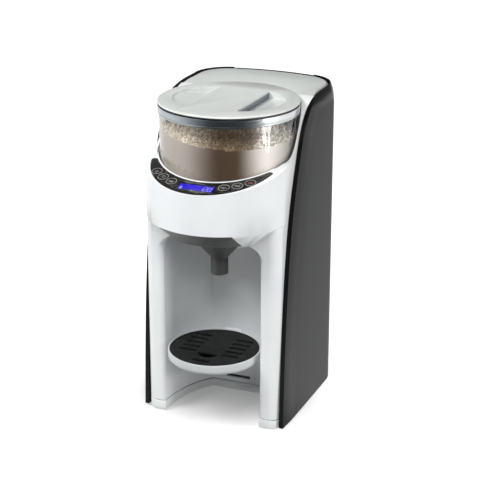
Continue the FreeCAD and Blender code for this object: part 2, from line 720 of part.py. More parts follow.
def front_shell():
    wall, rear, foot = at("shell_wall"), at("shell_rear"), at("shell_foot")
    axis, seat = at("hopper_axis"), at("hopper_seat")
    body = body_mass(0, rear, foot).cut(above_body(0))
    hollow = body_mass(wall, rear + 10, foot - 1).cut(above_body(at("collar_skin")))
    well = drum(at("well_radius") + at("well_wall"), at("well_floor"), at("cover_top"), y=axis)
    well = well.cut(above_body(0))
    liner = bay_room(wall)
    shell = body.cut(hollow.cut(liner.fuse(well))).fuse(well)
    post_low = at("bay_height") - at("arch_radius") / 2
    posts = [drum(at("boss_radius"), post_low, at("deck_base"), side * at("post_side"), y)
             for side in (-1, 1) for y in (at("post_front"), at("post_back"))]
    bosses = [drum(at("boss_radius"), foot, foot + at("boss_height"), x, y) for x, y in screw_places()]
    chute = drum(at("outlet_radius") + at("chute_wall"), at("chin_top") + 1.5, seat, y=at("outlet_middle"))
    half = at("rib_width") / 2
    rib_front, rib_top = at("bay_back") - at("rib_height"), at("tongue_base") - 5
    ribs = [slab(side * at("rib_side") - half, side * at("rib_side") + half, rib_front, at("bay_back") + 1,
                 foot, rib_top) for side in (-1, 1)]
    shell = shell.fuse(posts + bosses + [chute])
    lip = collar_height(at("panel_end")) + 2
    bores = [
        drum(at("collar_radius"), seat, lip, y=axis),
        drum(at("well_radius"), lip, at("cover_top") + 20, y=axis),
        drum(at("socket_radius") + at("fit_gap"), at("well_floor") - 1, seat + 1, y=axis),
        drum(at("outlet_radius"), at("chin_top"), seat + 1, y=at("outlet_middle")),
        bay_room(0),
        funnel_opening(),
        crescent(-0.15, -at("panel_thickness"), 20),
        button_holes(0.25, -20, 5),
        display_block(0.3, -20, 5),
    ]
    hole_depth = at("screw_length") - at("base_thickness")
    bores += [drum(at("screw_radius") + at("screw_gap"), foot - 1, foot + hole_depth, x, y)
              for x, y in screw_places()]
    shell = shell.cut(bores).fuse(ribs)
    slot = at("tongue_half_width") + 1
    gap = at("tongue_gap")
    for low in (at("tongue_base") - gap, at("lower_slot_height")):
        high = low + at("tongue_height") + 2 * gap
        shell = shell.cut(slab(-slot, slot, at("bay_back") - 5, at("bay_back") + 5, low, high))
    return shell.removeSplitter()


def base_skirt():
    wall, rear = at("shell_wall"), at("shell_rear")
    low, high = at("foot_height"), at("skirt_top")
    outer = prism(leg_outline(0, rear), low, high)
    inner = prism(leg_outline(wall, rear + 10), low - 1, high + 1)
    return outer.cut(inner.cut(bay_room(wall))).cut(bay_room(0))


# ---------------------------------------------------------------- dark covers
def cover_block(side):
    """A side cover before it is bent round the rear corner: flat core and bevelled outer layer."""
    far = at("rear_face") + 10
    foot = at("foot_height") + 1
    top = at("cover_top")
    nose = at("shell_half") + at("seam") + at("cover_nose")
    outer = at("body_width") / 2
    edge = [(at("front_face") + COVER_EDGE_FOOT, foot)] + from_top(COVER_EDGE)
    flat = [(at("front_face") + COVER_FLAT_FOOT, foot)] + from_top(COVER_FLAT)
    core = upright_face((edge, [(far, top), (far, foot)]), nose)
    flat_top = top - COVER_FLAT[-1][1]
    layer = upright_face((flat, [(far, flat_top), (far, foot)]), outer)
    skin = Part.makeLoft([core.OuterWire, layer.OuterWire], True, True)
    block = core.extrude(Vector(at("cover_split") - nose, 0, 0)).fuse(skin)
    if side < 0:
        block = block.mirror(Vector(0, 0, 0), Vector(1, 0, 0))
    return block


def cover_ring():
    """The band in plan between the covers' inner and outer faces, drawn in round its top."""
    front = at("front_face") - 5
    low, high = at("foot_height") + 1, at("cover_top") + 1
    levels = [(low, 0)] + [(at("cover_top") - drop, part) for drop, part in RIM_ROUNDING]
    wires = []
    for height, part in levels:
        plan = Part.Wire(inside_covers(0, front, part).OuterWire)
        plan.translate(Vector(0, 0, height))
        wires.append(plan)
    mass = Part.makeLoft(wires, True, True)
    return mass.cut(prism(inside_covers(0, front - 5), low - 1, high + 1))


def side_cover(side):
    inner = at("shell_half") + at("seam")
    skin = at("body_width") / 2 - at("cover_skin")
    split = at("cover_split") + at("seam") / 2
    far = at("body_width")
    cover = cover_block(side).common(cover_ring())
    half_space = slab(side * split, side * far, -far, far, 0, 2 * far + at("bay_height"))
    hollow = slab(side * (inner - 1), side * skin, at("front_face") + at("pocket_setback"), at("tank_front"),
                  at("pocket_base"), at("cover_top") - at("pocket_drop"))
    return cover.common(half_space).cut(hollow)


def rear_cover():
    split = at("cover_split") - at("seam") / 2
    window = at("window_width") / 2
    far = at("body_width")
    low, high = at("tank_base") + at("window_foot"), at("tank_top") - at("window_drop")
    cover = cover_ring().common(slab(-split, split, 0, far, 0, at("cover_top") - at("lid_sink") * 2))
    opening = slab(-window, window, 0, far, low, high)
    gland = drum(at("gland_radius") - at("gland_flange") + 0.1, -20, 20)
    return cover.cut([opening, in_gland_hole(gland)])


def in_gland_hole(shape):
    """Move a shape drawn upright at the origin to the cord's hole, pointing back to front."""
    place = Vector(at("gland_side"), at("rear_face"), at("gland_height"))
    shape.Placement = Placement(place, Rotation(Vector(1, 0, 0), 90))
    return shape


def cord_gland():
    """A rubber grommet in the rear cover: flange inside, neck flush outside, bore for the cord."""
    inside = rear_outline(at("body_width") / 2, at("rear_face"), at("corner_radius"), at("rear_bow"), 0)
    bow = 1.5
    flange_low = at("cover_rear") + bow + 2.4
    neck = drum(at("gland_radius") - at("gland_flange"), 0, flange_low + 5)
    flange = drum(at("gland_radius"), flange_low, flange_low + 2)
    bore = drum(at("gland_radius") - at("gland_flange") - at("gland_wall"), -5, 20)
    return in_gland_hole(neck.fuse(flange).cut(bore)).common(prism(inside, 0, 2 * at("gland_height")))


doc.recompute()
shaped("front_shell", front_shell())
shaped("base_skirt", base_skirt())
shaped("side_cover_left", side_cover(-1))
shaped("side_cover_right", side_cover(1))
shaped("rear_cover", rear_cover())
shaped("cord_gland", cord_gland())


# ---------------------------------------------------------------- base
def base_plate():
    low, high = at("foot_height"), at("plate_top")
    gap = at("seam")
    front = prism(leg_outline(at("shell_wall") + gap, at("shell_rear") + 2 * gap), low, high)
    rear = prism(inside_covers(gap, at("shell_rear") + gap), low, high)
    plate = front.fuse(rear).cut(bay_room(at("shell_wall") + gap))
    holes = [drum(at("screw_radius") + at("screw_gap"), low - 1, high + 1, x, y) for x, y in screw_places()]
    return plate.cut(holes).removeSplitter()


shaped("base_plate", base_plate())

feet = [cylinder("foot_radius", "foot_height", side + x, y) for side in ("-1 * ", "")
        for x, y in (("(bay_width / 2 + foot_outset)", "leg_front + foot_setback"),
                     ("(tank_half - foot_inset)", "tank_rear - foot_ahead"))]
node("rubber_feet", fuse(*feet))

screws = []
for x in ("-screw_side", "screw_side"):
    for y in ("screw_front", "screw_back"):
        screws.append(fuse(cylinder("screw_head", "foot_height - screw_sunk", x, y, "screw_sunk"),
                           cylinder("screw_radius", "screw_length", x, y, "foot_height")))
node("screws", fuse(*screws))


# ---------------------------------------------------------------- hopper
node("hopper", cut(
    turned("container", [
        ("0", "hopper_foot"), ("hopper_radius - 12", "hopper_foot"), ("hopper_radius - 12", "0"),
        ("hopper_radius - 0.8", "0"), ("hopper_radius", "hopper_height"),
        ("hopper_radius - hopper_wall", "hopper_height"),
        ("hopper_radius - hopper_wall - 0.8", "hopper_foot + hopper_floor"),
        ("0", "hopper_foot + hopper_floor")], y="hopper_axis", z="hopper_seat"),
    cylinder("hub_radius + fit_gap", "20", "0", "hopper_axis", "hopper_seat - 5"),
    cylinder("outlet_radius", "20", "0", "outlet_middle", "hopper_seat - 5")))

ring = node("hopper_ring", turned("ring", [
    ("ring_bore", "0"), ("ring_radius", "0"), ("ring_radius", "ring_height"),
    ("ring_bore + 4", "ring_height"), ("ring_bore + 4", "ring_height - 2"), ("ring_bore", "ring_height - 2")],
    y="hopper_axis", z="hopper_rim"))

node("lid_seal", turned("seal", [
    ("ring_bore + 4.5", "0"), ("ring_radius - 1", "0"), ("ring_radius - 1", "lid_seal_height"),
    ("ring_bore + 4.5", "lid_seal_height")], y="hopper_axis", z="ring_top"))


def finger_recess(side, grow):
    """A lens-shaped well beside the grip bar, deepest at the bar; grow makes the pan around it."""
    bar, reach, length = at("grip_half_width"), at("grip_reach"), at("grip_half_length")
    rise = reach - bar
    radius = (length ** 2 + rise ** 2) / (2 * rise)
    slope = math.degrees(math.atan2(at("grip_depth"), rise))
    top = at("hopper_lid_top")
    lens = drum(radius + grow, top - 20, top + 1, reach - radius)
    wedge = slab(-5 - grow, 2 * reach, -reach, reach, -grow, 20)
    wedge.Placement = Placement(Vector(bar + 5, 0, top - at("grip_depth")), Rotation(Vector(0, 1, 0), -slope))
    wedge = wedge.cut(slab(-reach, bar - grow, -2 * reach, 2 * reach, 0, top + 30))
    well = lens.common(wedge)
    if side < 0:
        well = well.mirror(Vector(0, 0, 0), Vector(1, 0, 0))
    well.translate(Vector(0, at("hopper_axis"), 0))
    return well


def hopper_lid():
    low, top = at("seal_top"), at("hopper_lid_top")
    axis, wall = at("hopper_axis"), at("lid_wall")
    plug = at("ring_bore") - at("fit_gap")
    disc = drum(at("ring_radius"), low, top, y=axis)
    rim = [edge for edge in disc.Edges if edge.BoundBox.ZMin > top - 0.1]
    disc = disc.makeFillet(1.2, rim)
    skirt = drum(plug, low - at("lid_plug_depth"), low, y=axis)
    skirt = skirt.cut(drum(plug - wall, low - 30, low, y=axis))
    inside = drum(plug - wall / 2, low - at("lid_plug_depth"), top - wall, y=axis)
    lid = disc.fuse([skirt] + [finger_recess(side, wall).common(inside) for side in (-1, 1)])
    return lid.cut([finger_recess(side, 0) for side in (-1, 1)]).removeSplitter()


shaped("hopper_lid", hopper_lid())


def formula_powder():
    """The powder: a ring beside the wheel and a layer over it, with a sloping surface."""
    axis, floor = at("hopper_axis"), at("floor_top") + at("powder_gap")
    low = at("hopper_radius") - at("hopper_wall") - 0.8 - at("powder_gap")
    heap = drum(low, floor, at("hopper_rim"), y=axis)
    room = drum(at("wheel_radius") + 1.5, floor - 1, at("floor_top") + at("wheel_web")
                + at("vane_height") + 1.5, y=axis)
    chute = drum(at("outlet_radius"), floor - 1, floor + 5, y=at("outlet_middle"))
    far = at("body_width")
    sky = slab(-far, far, -far, far, 0, far)
    sky.Placement = Placement(Vector(0, axis, at("floor_top") + at("powder_depth")),
                              Rotation(Vector(0.86, 0.5, 0), at("powder_slope")))
    return heap.cut([room, chute, sky])


shaped("formula_powder", formula_powder())

# ---------------------------------------------------------------- mixing wheel and its drive
def vane(bearing):
    """A radial bar on the mixing wheel, turned to a bearing."""
    bar = bind(doc.addObject("Part::Box", "vane"),
               Length="wheel_radius - hub_radius + 3", Width="vane_thickness", Height="vane_height")
    along, across = "cos(%gdeg)" % bearing, "sin(%gdeg)" % bearing
    put(bar, "(hub_radius - 4) * %s + vane_thickness / 2 * %s" % (along, across),
        "(hub_radius - 4) * %s - vane_thickness / 2 * %s" % (across, along), "wheel_web")
    bar.Placement.Rotation = Rotation(Vector(0, 0, 1), bearing)
    return bar


wheel_core = turned("wheel_core", [
    ("0", "-(hopper_floor + hopper_foot) + 0.6"), ("hub_radius", "-(hopper_floor + hopper_foot) + 0.6"),
    ("hub_radius", "fit_gap"), ("wheel_radius", "fit_gap"), ("wheel_radius", "fit_gap + wheel_web"),
    ("hub_radius", "fit_gap + wheel_web"), ("hub_radius - 3", "vane_height"), ("0", "vane_height + 1")])
vanes = [vane(60 * count) for count in range(6)]
windows = [cylinder("wheel_hole", "2 * wheel_web + 1", "(wheel_radius - 12) * cos(%ddeg)" % bearing,
                    "(wheel_radius - 12) * sin(%ddeg)" % bearing, "-1") for bearing in range(30, 360, 60)]
socket_long, socket_wide = "2 * (dog_reach + dog_gap)", "dog_width + 2 * dog_gap"
socket_low = "dog_base - floor_top - 8"
socket = [box(length, width, "dog_height + 9", z=socket_low)
          for length, width in ((socket_long, socket_wide), (socket_wide, socket_long))]
wheel = cut(fuse(wheel_core, *vanes), *(socket + windows))
node("mixing_wheel", put(wheel, "0", "hopper_axis", "floor_top"))

coupling = fuse(
    cylinder("socket_radius", "dog_base - gear_base - gear_width - seam", "0", "hopper_axis",
             "gear_base + gear_width + seam"),
    box("2 * dog_reach", "dog_width", "dog_height + 1", "0", "hopper_axis", "dog_base - 1"),
    box("dog_width", "2 * dog_reach", "dog_height + 1", "0", "hopper_axis", "dog_base - 1"))
shaft_hole = cylinder("shaft_radius", "12", "0", "hopper_axis", "gear_base + gear_width")
node("drive_coupling", cut(coupling, shaft_hole))

node("drive_shaft", cylinder("shaft_radius", "gear_width + 20", "0", "hopper_axis",
                             "deck_base - 2"))
node("shaft_bush", turned("bush", [
    ("shaft_radius + bush_gap", "0"), ("bush_radius", "0"), ("bush_radius", "deck_thickness + 1"),
    ("bush_radius + 3", "deck_thickness + 1"), ("bush_radius + 3", "deck_thickness + 1 + shell_wall"),
    ("shaft_radius + bush_gap", "deck_thickness + 1 + shell_wall")],
    y="hopper_axis", z="deck_base - 1"))


def gear(teeth, pitch_shift, bore, low, high, x, y):
    """A spur gear with straight-sided teeth and ample backlash."""
    module = at("tooth_module")
    pitch = module * teeth / 2
    points = []
    for tooth in range(int(teeth)):
        middle = (tooth + pitch_shift) * 2 * math.pi / teeth
        for share, radius in ((-0.30, pitch - 1.0 * module), (-0.11, pitch + 0.6 * module),
                              (0.11, pitch + 0.6 * module), (0.30, pitch - 1.0 * module)):
            bearing = middle + share * 2 * math.pi / teeth
            points.append(Vector(radius * math.cos(bearing), radius * math.sin(bearing), low))
    wheel = Part.Face(Part.makePolygon(points + points[:1])).extrude(Vector(0, 0, high - low))
    wheel = wheel.cut(drum(bore, low - 1, high + 1))
    wheel.translate(Vector(x, y, 0))
    return wheel


def drive_gears():
    low, high = at("gear_base"), at("gear_base") + at("gear_width")
    axis, teeth, mate = at("hopper_axis"), at("gear_teeth"), at("pinion_teeth")
    turn = at("motor_turn") / 360 * teeth
    shift = (at("motor_turn") + 180) / 360 * mate
    big = gear(teeth, turn % 1, at("shaft_radius"), low, high, 0, axis)
    ring = at("gear_hole_ring")
    bearings = [math.radians(bearing) for bearing in range(0, 360, 60)]
    ease = [drum(at("gear_hole"), low - 1, high + 1, ring * math.cos(turn), axis + ring * math.sin(turn))
            for turn in bearings]
    small = gear(mate, (shift + 0.5) % 1, at("pinion_bore"), low, high, at("motor_side"), at("motor_back"))
    return big.cut(ease), small


big_gear, small_gear = drive_gears()
shaped("drive_gear", big_gear)
shaped("motor_pinion", small_gear)

node("powder_motor", fuse(
    cylinder("motor_radius", "motor_height", "motor_side", "motor_back", "deck_base - motor_height"),
    cylinder("motor_nose", "deck_thickness + 1", "motor_side", "motor_back", "deck_base")))
node("pinion_shaft", cylinder("pinion_bore", "gear_width + 4", "motor_side", "motor_back", "deck_top + 1.2"))


def drive_deck():
    low, high = at("deck_base"), at("deck_top")
    far, rear = at("body_width"), at("shell_rear") - 2
    axis, notch, window = at("hopper_axis"), 9, 60
    deck = prism(bulge_outline(at("shell_wall") + at("seam"), rear), low, high)
    deck = deck.common(slab(-far, far, axis - 30, rear, low, high))
    holes = [drum(at("bush_radius"), low - 1, high + 1, y=axis),
             drum(at("motor_nose") + 0.2, low - 1, high + 1, at("motor_side"), at("motor_back"))]
    holes += [slab(side * window - notch, side * window + notch, axis - 8, axis + 4, low - 1, high + 1)
              for side in (-1, 1)]
    return deck.cut(holes)


shaped("drive_deck", drive_deck())


# ---------------------------------------------------------------- control panel
def control_panel():
    holes = [button_holes(0.25, -10, 5), display_block(0.1, -10, 5)]
    return crescent(0, -at("panel_thickness"), 0).cut(holes)


def keypad_mat():
    top = -at("collar_skin")
    mat = crescent(2, top - at("mat_thickness"), top)
    pocket_floor = top - 0.5 - at("button_travel") - 0.2
    return mat.cut([button_holes(0.6, pocket_floor, 5), display_block(0.8, -20, 5)])


def display_board():
    top = -at("collar_skin") - at("mat_thickness")
    return crescent(2, top - at("board_thickness"), top)


shaped("control_panel", control_panel())
shaped("keypad_mat", keypad_mat())
shaped("display_board", display_board())
shaped("lcd_window", display_block(0, -at("lens_thickness"), 0))
shaped("lcd_module", display_block(-0.2, -at("collar_skin") - at("mat_thickness"), -at("lens_thickness")))
for count, (across, along) in enumerate(button_places(), 1):
    cap = drum(at("button_radius"), -at("collar_skin") - 0.5, at("button_proud"), across, along)
    crown = [edge for edge in cap.Edges if edge.BoundBox.ZMin > 0]
    shaped("button_%d" % count, tilted(cap.makeFillet(0.35, crown)))


# ---------------------------------------------------------------- funnel drawer
def funnel_cover():
    """The drawer: a conical front plate and a flat frame with the funnel's hole."""
    half, plate = at("drawer_half_width"), at("drawer_plate")
    low, high = at("drawer_base"), at("drawer_top")
    back = at("drawer_back")
    skin = chin_cone(0).cut(chin_cone(plate)).common(slab(-half, half, -200, at("bulge_middle"), low, high))
    floor = slab(-half, half, -200, back, low, at("frame_top")).common(
        chin_cone(0.5).fuse(slab(-half, half, at("bulge_middle"), back, low, high)))
    hole = drum(at("funnel_radius") + at("fit_gap"), low - 1, high, y=at("funnel_axis"))
    ribs = [slab(side * (half - 2), side * half, at("leg_front"), back, low, low + 9) for side in (-1, 1)]
    return skin.fuse([floor] + ribs).cut(hole).removeSplitter()


shaped("funnel_cover", funnel_cover())
node("funnel", turned("funnel_body", [
    ("funnel_radius - funnel_wall", "funnel_rim"), ("funnel_radius - funnel_wall", "0"),
    ("nozzle_radius - funnel_wall", "nozzle_top - frame_top"),
    ("nozzle_radius - funnel_wall", "nozzle_top - frame_top - nozzle_length"),
    ("nozzle_radius", "nozzle_top - frame_top - nozzle_length"), ("nozzle_radius", "nozzle_top - frame_top"),
    ("funnel_radius", "-frame_thickness"), ("funnel_radius", "0"),
    ("funnel_radius + funnel_flange", "0"), ("funnel_radius + funnel_flange", "1.5"),
    ("funnel_radius", "1.5"), ("funnel_radius", "funnel_rim")], y="funnel_axis", z="frame_top"))


# ---------------------------------------------------------------- drip tray
tray = turned("tray_cup", [
    ("0", "0"), ("tray_radius - tray_round", "0"), ("tray_radius - tray_round * 0.29", "tray_round * 0.29"),
    ("tray_radius", "tray_round"), ("tray_radius", "tray_depth"), ("tray_radius - tray_wall", "tray_depth"),
    ("tray_radius - tray_wall", "tray_round"), ("tray_radius - tray_round", "tray_wall + 0.3"),
    ("0", "tray_wall + 0.3")], y="tray_axis", z="tray_floor")
node("drip_tray", tray)
tongue_front, tongue_back = "tray_axis + 8", "bay_back + shell_wall + 2"
node("tray_bracket", fuse(
    box("2 * tongue_half_width", "%s - (%s)" % (tongue_back, tongue_front), "tongue_height", "0",
        "(%s + %s) / 2" % (tongue_back, tongue_front), "tongue_base"),
    box("2 * tongue_half_width - 8", "3", "tongue_height + tray_depth + 0.6", "0",
        "tray_axis + tray_radius + 3.5", "tongue_base")))

grid_disc = cylinder("tray_radius - tray_wall - 0.4", "grid_thickness", "0", "tray_axis",
                     "tray_top - grid_thickness")
grid_feet = [cylinder("2", "grid_skirt + 1", "%d * grid_foot_side" % a, "tray_axis + %d * grid_foot_side" % b,
                      "tray_top - grid_thickness - grid_skirt") for a in (-1, 1) for b in (-1, 1)]
slot_spots = [("%d * slot_side" % side, "tray_axis + (%d) * slot_pitch" % row)
              for side in (-1, 1) for row in range(-2, 3) if side == 1 or row > -2]
slot_spots.append(("0", "tray_axis - 4 * slot_pitch"))
slots = [box("slot_length", "slot_width", "10", x, y, "tray_top - 5") for x, y in slot_spots]
lift = common(cylinder("lift_radius", "10", "0", "tray_axis - lift_radius - 5", "tray_top - 5"),
              box("3 * lift_radius", "lift_radius + 1", "10", "0", "tray_axis - 2 * lift_radius",
                  "tray_top - 5"))
node("drip_grid", cut(fuse(grid_disc, *grid_feet), lift, *slots))


# ---------------------------------------------------------------- water tank and rear deck
def tank_block(gap, front, low, high, corner):
    """A block inside the covers with rounded front corners."""
    block = prism(inside_covers(gap, front), low, high)
    upright = [edge for edge in block.Edges if edge.BoundBox.ZLength > 100]
    ahead = [edge for edge in upright if edge.BoundBox.YMax < front + 1 and abs(edge.BoundBox.XMin) > 10]
    return block.makeFillet(corner, ahead)


def water_tank():
    wall, gap, front = at("tank_wall"), at("tank_gap"), at("tank_front")
    low, high, corner = at("tank_base"), at("tank_top"), at("tank_corner")
    tank = tank_block(gap, front, low, high, corner)
    tank = tank.cut(tank_block(gap + wall, front + wall, low + wall, high + 1, corner - wall))
    ears = []
    for side in (-1, 1):
        middle = side * at("hinge_spread")
        half = at("ear_width") / 2
        radius = at("hinge_ear_radius")
        back, height = at("hinge_back"), at("hinge_height")
        stem = slab(middle - half, middle + half, back - radius, back + radius, high - 12, height)
        eye = Part.makeCylinder(radius, 2 * half, Vector(middle - half, back, height), Vector(1, 0, 0))
        ears.append(stem.fuse(eye))
    valve_hole = drum(at("valve_radius"), low - 1, low + wall + 1, y=at("valve_middle"))
    return tank.fuse(ears).cut([valve_hole, pin_bore()])


def pin_bore():
    """The room for the hinge pin through the tank's ears and the rear deck's knuckles."""
    start = Vector(-at("body_width"), at("hinge_back"), at("hinge_height"))
    radius = at("hinge_pin_radius") + at("hinge_pin_gap")
    return Part.makeCylinder(radius, 2 * at("body_width"), start, Vector(1, 0, 0))


shaped("water_tank", water_tank())
node("tank_lid_pin", rod("hinge_pin_radius", "2 * pin_reach", Vector(1, 0, 0), "-pin_reach", "hinge_back",
                         "hinge_height"))


def tank_lid():
    """The rear deck: flat band behind, dish towards the hopper, hollow underneath."""
    top, skin = at("lid_top"), at("lid_skin")
    low = top - at("lid_skirt")
    start = at("shell_rear") + at("lid_front_gap")

    def footprint(gap):
        return inside_covers(at("lid_gap") + gap, start + gap)
    block = prism(footprint(0), low, top)
    rear_edges = [edge for edge in block.Edges
                  if edge.BoundBox.ZMin > top - 0.1 and edge.BoundBox.YMax > start + 5]
    block = block.makeFillet(at("lid_edge"), rear_edges)
    axis, hole = at("hopper_axis"), at("ring_radius") + at("lid_hopper_gap")
    dish = Part.makeCone(hole - 1, at("dish_radius"), at("dish_drop"), Vector(0, axis, top - at("dish_drop")))
    dish = dish.fuse(drum(at("dish_radius"), top, top + 9, y=axis))
    ring_wall = drum(hole + skin, low - 1, top + 5, y=axis).cut(drum(hole, low - 2, top + 6, y=axis))
    under = prism(footprint(skin), low - 1, top - skin)
    under = under.cut(drum(hole + skin, low - 2, top, y=axis))
    sunk = Part.makeCone(hole - 1, at("dish_radius") + skin, at("dish_drop"),
                         Vector(0, axis, top - at("dish_drop") - skin))
    under = under.cut(sunk)
    lid = block.cut([dish, under, drum(hole, low - 2, top + 6, y=axis)])
    lid = lid.fuse(ring_wall.common(block.cut(dish)))
    back, height = at("hinge_back"), at("hinge_height")
    knuckles, notches = [], []
    for side in (-1, 1):
        ear_edge = at("hinge_spread") + at("ear_width") / 2
        arm = slab(side * (ear_edge + 1), side * (ear_edge + 8), back - 2.6, at("lid_rear") - 1,
                   height - 2.6, top - 1)
        knuckles.append(arm.common(block))
        notches.append(slab(side * (ear_edge - at("ear_width") - 1), side * (ear_edge + 1), back - 6,
                            at("rear_face"), low - 1, height + 2.9))
    return lid.fuse(knuckles).cut(notches + [pin_bore()]).removeSplitter()


shaped("tank_lid", tank_lid())

# ---------------------------------------------------------------- valve between tank and base
guide, bore = "plunger_radius + fit_gap", "valve_radius - valve_wall"
neck, seal_bore = "valve_radius - 0.5", bore + " - seal_width"
node("tank_valve", turned("valve", [
    (guide, "0"), ("valve_radius - 2", "0"), (neck, "2"), (neck, "valve_drop"),
    ("valve_radius", "valve_drop"), ("valve_radius", "valve_drop + tank_wall"),
    (bore, "valve_drop + tank_wall"), (bore, "valve_wall"), (guide, "valve_wall")],
    y="valve_middle", z="valve_foot"))
node("tank_seal", turned("seal_ring", [
    (bore, "0"), (seal_bore, "0"), (seal_bore, "seal_thickness"), (bore, "seal_thickness")],
    y="valve_middle", z="valve_foot + valve_wall"))
node("valve_plunger", fuse(
    cylinder("plunger_radius", "bridge_base + bridge_thickness - valve_foot + 1", "0", "valve_middle",
             "valve_foot - 0.5"),
    cylinder(seal_bore + " - 0.4", "plunger_disc", "0", "valve_middle", "valve_foot + valve_wall + 0.2")))


def valve_spring():
    """A coil between the plunger's disc and the bridge, lofted through sections of its wire."""
    wire, steps, sides = at("spring_wire"), 16, 8
    low = at("valve_foot") + at("valve_wall") + at("plunger_disc") + 0.5 + wire
    high = at("bridge_base") - 0.15 - wire
    radius = at("plunger_radius") + 3 * wire
    count = int(at("spring_turns")) * steps
    sections = []
    for step in range(count + 1):
        turn = 2 * math.pi * step / steps
        outward = Vector(math.cos(turn), math.sin(turn), 0)
        middle = outward * radius + Vector(0, at("valve_middle"), low + (high - low) * step / count)
        ring = [middle + outward * (wire * math.cos(a)) + Vector(0, 0, wire * math.sin(a))
                for a in (2 * math.pi * side / sides for side in range(sides))]
        sections.append(Part.makePolygon(ring + ring[:1]))
    return Part.makeLoft(sections, True, True)


shaped("valve_spring", valve_spring())
node("valve_bridge", turned("bridge", [
    (guide, "0"), ("valve_radius - valve_wall + 2", "0"), ("valve_radius - valve_wall + 2", "-bridge_rise"),
    ("valve_radius", "-bridge_rise"), ("valve_radius", "bridge_thickness"), (guide, "bridge_thickness")],
    y="valve_middle", z="bridge_base"))

seat_bore = "valve_radius + valve_gap"
seat_side = seat_bore + " + valve_wall"
seat_cup = turned("seat_cup", [
    ("0", "-seat_floor"), (seat_side, "-seat_floor"), (seat_side, "-shelf_thickness"),
    (seat_bore, "-shelf_thickness"), (seat_bore, "2 - seat_floor"), ("plunger_radius", "2 - seat_floor"),
    ("plunger_radius", "-valve_drop - 0.9"), ("0", "-valve_drop - 0.9")], y="valve_middle", z="shelf_top")
node("valve_seat", fuse(seat_cup, rod(
    "nipple_radius", "nipple_length + 1", Vector(0, -1, 0), "0", "valve_middle - valve_radius - valve_wall",
    "intake_height")))


def tank_shelf():
    low, high = at("shelf_base"), at("shelf_top")
    top = prism(inside_covers(at("seam"), at("tank_front") - 3), low, high)
    hole = drum(at("valve_radius") + at("valve_gap"), low - 1, high + 1, y=at("valve_middle"))
    half, side = at("shelf_post") / 2, at("shelf_post_side")
    posts = [slab(x - half, x + half, y - half, y + half, at("plate_top"), low)
             for x in (-side, side) for y in (at("tank_front") + half, at("tank_rear") - 22)]
    return top.cut(hole).fuse(posts)


shaped("tank_shelf", tank_shelf())

# ---------------------------------------------------------------- back frame and what it carries
frame_right = [("frame_half", "plate_top"), ("frame_half", "deck_base"),
               ("frame_half - frame_arm", "deck_base"), ("frame_half - frame_arm", "bay_height - 2")]
frame_left = [("-(%s)" % x, z) for x, z in reversed(frame_right)]
frame_sheet = padded("frame_sheet", frame_right + frame_left, "frame_wall", y="frame_rear", plane="XZ_Plane")
node("back_frame", frame_sheet)

node("water_pump", fuse(
    box("pump_width", "pump_depth", "pump_height", "0", "pump_axis", "pump_base"),
    cylinder("pump_head", "pump_head_height", "0", "pump_axis", "pump_top"),
    cylinder("nipple_radius", "nipple_length", "0", "pump_axis", "pump_top + pump_head_height"),
    rod("nipple_radius", "nipple_length", Vector(0, 1, 0), "0", "frame_rear + pump_depth", "intake_height")))
node("water_heater", fuse(
    cylinder("heater_radius", "heater_length", "-heater_side", "heater_axis", "heater_base"),
    box("22", "heater_back / 2 + 2", "heater_length / 2", "-heater_side", "frame_rear + heater_back / 4 + 1",
        "heater_base + 20"),
    cylinder("nipple_radius", "heater_length + 2 * nipple_length", "-heater_side", "heater_axis",
             "heater_base - nipple_length")))

backward = Vector(0, 1, 0)
board_middle = "board_face + board_thickness / 2"
board = box("board_width", "board_thickness", "board_height", "board_side", board_middle, "board_base")
transformer = box("18", "16", "22", "board_side + 8", "board_face + 8", "board_base + 10")
chip = box("14", "3", "14", "board_side - 6", "board_face + 2", "board_base + 80")
capacitors = [rod("5", "13", backward, "board_side - 12", "board_face", "board_base + %d" % rise)
              for rise in (25, 40)]
standoffs = [rod("2.5", "board_standoff + 1", backward, "board_side %s (board_width / 2 - 3)" % sign,
                 "frame_rear", "board_base + " + rise)
             for sign in "+-" for rise in ("4", "board_height - 4")]
node("main_board", fuse(board, transformer, chip, *capacitors, *standoffs))

spout_long = "(spout_back + 3)"
node("water_spout", fuse(
    box("spout_width", spout_long, "spout_height", "-spout_side", "spout_rear - %s / 2" % spout_long,
        "deck_base - spout_height"),
    cylinder("spout_width / 3", "4", "-spout_side", "funnel_axis + 3", "deck_base - spout_height - 2.9"),
    rod("spout_gauge", "nipple_length", Vector(0, 1, 0), "-spout_side", "spout_rear", "spout_level")))


def hose(points, radius):
    """A tube along straight runs joined by tangent arcs."""
    bend = at("hose_bend")
    spots = [Vector(*point) for point in points]
    edges, start = [], spots[0]
    for before, corner, after in zip(spots, spots[1:], spots[2:]):
        arrive, leave = (corner - before).normalize(), (after - corner).normalize()
        turn = arrive.getAngle(leave)
        reach = bend * math.tan(turn / 2)
        inside = (leave - arrive).normalize()
        peak = corner + inside * (bend / math.cos(turn / 2) - bend)
        enter, exit_point = corner - arrive * reach, corner + leave * reach
        edges += [Part.LineSegment(start, enter).toShape(), Part.Arc(enter, peak, exit_point).toShape()]
        start = exit_point
    edges.append(Part.LineSegment(start, spots[-1]).toShape())
    section = Part.Wire(Part.makeCircle(radius, spots[0], spots[1] - spots[0]))
    return Part.Wire(edges).makePipeShell([section], True, False)


